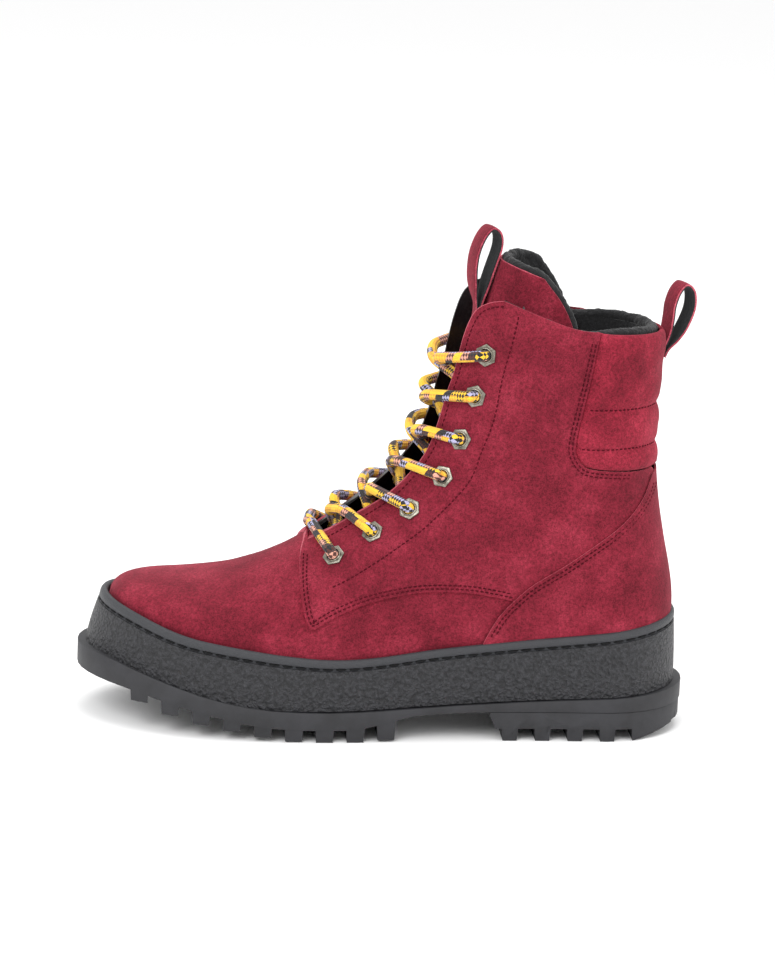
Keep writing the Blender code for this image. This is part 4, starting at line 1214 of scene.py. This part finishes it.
def makeStitches():
    form = Form()
    rows = []
    for side in (-1, 1):
        rows.append(rowOn(form, seamLine(facingSeam[1:], 0.0)[:-3], side))
        rows.append(rowOn(form, seamLine(throatLine, -stitchShape["throatInset"])[3:], side))
        for inset in stitchShape["twinRows"]:
            rows.append(rowOn(form, seamLine(vampSeam[1:], inset), side))
            counter = [p for p in seamLine(counterSeam, -inset) if 50 < p[1] < 124]
            rows.append(rowOn(form, counter, side, stitchShape["counterLift"]))
            rows.append(rowOn(form, [p for p in seamLine(padSeam, -inset) if p[1] < 196][:-4], side))
    mesh = stitchMesh("upperStitches", rows, stitchShape)
    newPiece("upperStitches", mesh, "boot", "suede", (), [seamThread])
    rows = []
    for level in padShape["channels"]:
        for side in (-1, 1):
            line = [(x, level) for x in np.linspace(padFront(level) + 2.5, form.back(level) - 1.2, 40)]
            rows.append(rowOn(form, line, side, lambda x, z: padLift(x, z) + stitchShape["lift"]))
    mesh = stitchMesh("padStitches", rows, stitchShape)
    newPiece("padStitches", mesh, "boot", "suede", (), [seamThread])


def makeWallStitches():
    # one row a side in the groove under the lip
    rows = []
    count = wallStitch["spots"]
    for side in (-1, 1):
        spots = np.array([wallPoint(i / count, side, "down", wallStitch["below"], wallStitch["sunk"])
                          for i in range(1, count)])
        outward = np.cross(np.gradient(spots, axis=0), [0, 0, 1]) * (1 if side < 0 else -1)
        rows.append(stitchRow(spots, outward / np.linalg.norm(outward, axis=1)[:, None]))
    mesh = stitchMesh("wallStitches", rows, wallStitch)
    newPiece("wallStitches", mesh, "boot", "rubber", (), [wallThread])


makeStitches()
makeWallStitches()
print("stitches ready")


# eyelets

def addedCylinder(sides, radius, low, high, ends="NGON"):
    bpy.ops.object.select_all(action="DESELECT")
    bpy.ops.mesh.primitive_cylinder_add(vertices=sides, radius=radius * mm, depth=(high - low) * mm,
                                        end_fill_type=ends, location=(0, 0, (low + high) / 2 * mm))
    return bpy.context.active_object


def eyeletModel():
    # hexagonal flange with soft corners, the rolled lip round its bore, and the barrel through the leather
    size = eyeletSize
    flange = addedCylinder(6, size["hexRadius"], size["flangeLow"], size["flangeTop"])
    bore = addedCylinder(size["sides"], size["bore"], -3, 3)
    cut = flange.modifiers.new("bore", "BOOLEAN")
    cut.object = bore
    cut.operation = "DIFFERENCE"
    soft = flange.modifiers.new("softCorners", "BEVEL")
    soft.width = size["softCorner"] * mm
    soft.segments = 3
    soft.limit_method = "ANGLE"
    finishModifiers(flange)
    bpy.data.objects.remove(bore, do_unlink=True)
    bpy.ops.object.select_all(action="DESELECT")
    bpy.ops.mesh.primitive_torus_add(major_segments=size["sides"], minor_segments=12,
                                     major_radius=size["rollAt"] * mm, minor_radius=size["rollRadius"] * mm,
                                     location=(0, 0, (size["flangeTop"] + 0.05) * mm))
    roll = bpy.context.active_object
    barrel = addedCylinder(size["sides"], size["bore"] + size["barrelWall"], size["barrelEnd"],
                           size["flangeTop"], "NOTHING")
    thicken(barrel, size["barrelWall"])
    finishModifiers(barrel)
    bpy.ops.object.select_all(action="DESELECT")
    for piece in (flange, roll, barrel):
        piece.select_set(True)
    bpy.context.view_layer.objects.active = flange
    bpy.ops.object.join()
    bpy.ops.object.transform_apply(location=True, rotation=True, scale=True)
    flange.data.materials.clear()
    smoothShade(flange.data, 30)
    return flange


def makeEyelets():
    model = eyeletModel()
    form = Form()
    for side, word, tag in ((-1, "outer", "lateral"), (1, "inner", "medial")):
        for i, (x, z) in enumerate(eyelets):
            mesh = model.data.copy()
            degrees = eyeletSize["spin"] * i + eyeletSize["sideSpin"] * side
            mesh.transform(seat(form, x, z, side) @ Matrix.Rotation(math.radians(degrees), 4, "Z"))
            newPiece("hexEyelet_%s_%d" % (word, i + 1), mesh, "boot", "eyelet_metal",
                     ["eyelet_%s_%d" % (tag, i + 1)], [agedNickel])
    bpy.data.objects.remove(model, do_unlink=True)


makeEyelets()
print("eyelets ready")


# lace

# heights are measured from the upper's outer surface; edges is the line of the lace flap's free edge
laceShape = {"radius": 2.6, "bend": 2.7, "sides": 16, "spacing": 0.7, "edgeClear": (1.5, 5.0),
             "above": 3.8, "below": -7.2, "turnAbove": 1.3, "turnBelow": -4.9, "inHole": 2.2,
             "crossing": 3.0, "crossLift": 1.5, "tailDrop": 1.2, "flat": 2.5, "barX": -37.5, "barLift": 3.5,
             "tail": [(44, 176), (45, 165), (41.5, 151), (37.5, 138.5)],
             "edges": [(-33, 93), (-16, 104), (-1, 115), (12.5, 130.5), (20.5, 147.5), (25.5, 166),
                       (30, 185)]}


def laceTurn(form, index, side, aim, inside):
    # a quarter bend out of an eyelet towards aim, over the leather or under it
    x, z = eyelets[index]
    centre, n = form.point(x, z, side), form.normal(x, z, side, laceShape["flat"])
    along = np.array(aim) - centre
    along -= n * (along @ n)
    along /= np.linalg.norm(along)
    sign = -1 if inside else 1
    start = laceShape["turnBelow"] if inside else laceShape["turnAbove"]
    out = [centre - n * laceShape["inHole"]] if inside else []
    for degrees in (0, 30, 60, 90):
        a = math.radians(degrees)
        out.append(centre + n * (start + sign * laceShape["bend"] * math.sin(a))
                   + along * laceShape["bend"] * (1 - math.cos(a)))
    return out


def laceSide(form, side):
    # half of the lace, from the bar over the throat up to its tucked end
    flat, above, below = laceShape["flat"], laceShape["above"], laceShape["below"]
    edge = np.array(laceShape["edges"], float)
    clear = np.linspace(*laceShape["edgeClear"], len(edge))[:, None]
    front = edge + (shifted(edge, 1) - edge) * clear

    def spot(line, place, onSide, height):
        i, part = int(place), place % 1
        x, z = line[i] * (1 - part) + (line[i + 1] * part if part else 0)
        return form.off(x, z, onSide, height, flat)

    over = spot(edge, 0, side, above)
    route = [spot(front, 0, side, above), over]
    route += laceTurn(form, 0, side, over, False)[::-1]
    for i in range(len(eyelets) - 1):
        own, past = spot(edge, i + 0.2, side, below), spot(front, i + 0.3, side, below)
        far, over = spot(front, i + 0.7, -side, above), spot(edge, i + 0.85, -side, above)
        upper = 1 if (side > 0) == (i % 2 == 0) else -1
        x, z = (front[i] + front[i + 1]) / 2
        n = form.normal(x, z, side, flat) + form.normal(x, z, -side, flat)
        lift = upper * laceShape["crossing"] + laceShape["crossLift"]
        middle = (past + far) / 2 + n / np.linalg.norm(n) * lift
        route += laceTurn(form, i, side, own, True)
        route += [own, past, middle, far, over]
        side = -side
        route += laceTurn(form, i + 1, side, over, False)[::-1]
    tail = [form.off(x, z, side, below - laceShape["tailDrop"], flat) for x, z in laceShape["tail"]]
    return route + laceTurn(form, len(eyelets) - 1, side, tail[0], True) + tail


def makeLace():
    form = Form()
    barX = laceShape["barX"]
    bar = np.array([barX, centreY(barX), form.crownZ(barX) + laceShape["barLift"]])
    route = laceSide(form, -1)[::-1] + [bar] + laceSide(form, 1)
    path, reach = evenPath(route, laceShape["spacing"])
    mesh = tubeMesh("braidedLace", path, reach, laceShape["radius"], laceShape["sides"], "laceMap")
    faceOut(mesh)
    mesh.shade_smooth()
    newPiece("braidedLace", mesh, "boot", "lace_cord", ["lace"], [fleckedBraid])
    print("lace length mm", round(float(reach[-1])))


makeLace()


# frame solids that stay

def dress(node, material):
    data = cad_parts[node].data
    data.materials.clear()
    data.materials.append(material)


for node, material in (("midsole_core", foamGrey), ("shank", shankSteel), ("insole_board", fibreBoard),
                       ("footbed", fleece), ("toe_puff", fibreBoard), ("heel_stiffener", fibreBoard),
                       ("vamp_lining", fleece), ("aglet_a", agletFilm), ("aglet_b", agletFilm)):
    dress(node, material)


# stage, lights, camera

stage = {"floor": colour(250, 250, 250), "sky": 1.0, "camera": (-0.1089, -1.5577, 0.4660),
         "target": (0.0, 0.0, 0.117), "roll": 2.45, "lens": 124.3, "sensor": 36, "floorSize": 40.0}
# place, size in metres, watts
lamps = {"keyLight": ((-0.9, -1.5, 1.5), 1.2, 26), "fillLight": ((1.5, -1.0, 0.9), 1.4, 10),
         "topLight": ((0.1, 0.3, 1.8), 1.4, 14)}


def aimed(place, target):
    return (Vector(target) - Vector(place)).to_track_quat("-Z", "Y")


def makeStage():
    bpy.ops.object.select_all(action="DESELECT")
    bpy.ops.mesh.primitive_plane_add(size=stage["floorSize"], location=(0, 0, 0))
    floor = bpy.context.active_object
    floor.name = "studioFloor"
    mat, tree, shader = newMaterial("paleFloor", 0.9)
    shader.inputs["Base Color"].default_value = stage["floor"]
    floor.data.materials.append(mat)
    world = bpy.data.worlds.new("softRoom")
    world.use_nodes = True
    back = world.node_tree.nodes["Background"]
    back.inputs["Color"].default_value = (1, 1, 1, 1)
    back.inputs["Strength"].default_value = stage["sky"]
    bpy.context.scene.world = world
    for name, (place, size, power) in lamps.items():
        light = bpy.data.lights.new(name, "AREA")
        light.size = size
        light.energy = power
        lamp = bpy.data.objects.new(name, light)
        bpy.context.scene.collection.objects.link(lamp)
        lamp.location = place
        lamp.rotation_euler = aimed(place, (0, 0, 0.1)).to_euler()


def makeCamera():
    data = bpy.data.cameras.new("viewCamera")
    data.lens = stage["lens"]
    data.sensor_width = stage["sensor"]
    camera = bpy.data.objects.new("viewCamera", data)
    bpy.context.scene.collection.objects.link(camera)
    turn = aimed(stage["camera"], stage["target"]).to_matrix().to_4x4()
    roll = Matrix.Rotation(math.radians(stage["roll"]), 4, "Z")
    camera.matrix_world = Matrix.Translation(stage["camera"]) @ turn @ roll
    bpy.context.scene.camera = camera


makeStage()
makeCamera()
bpy.context.scene.view_settings.view_transform = "Standard"
print("stage ready")
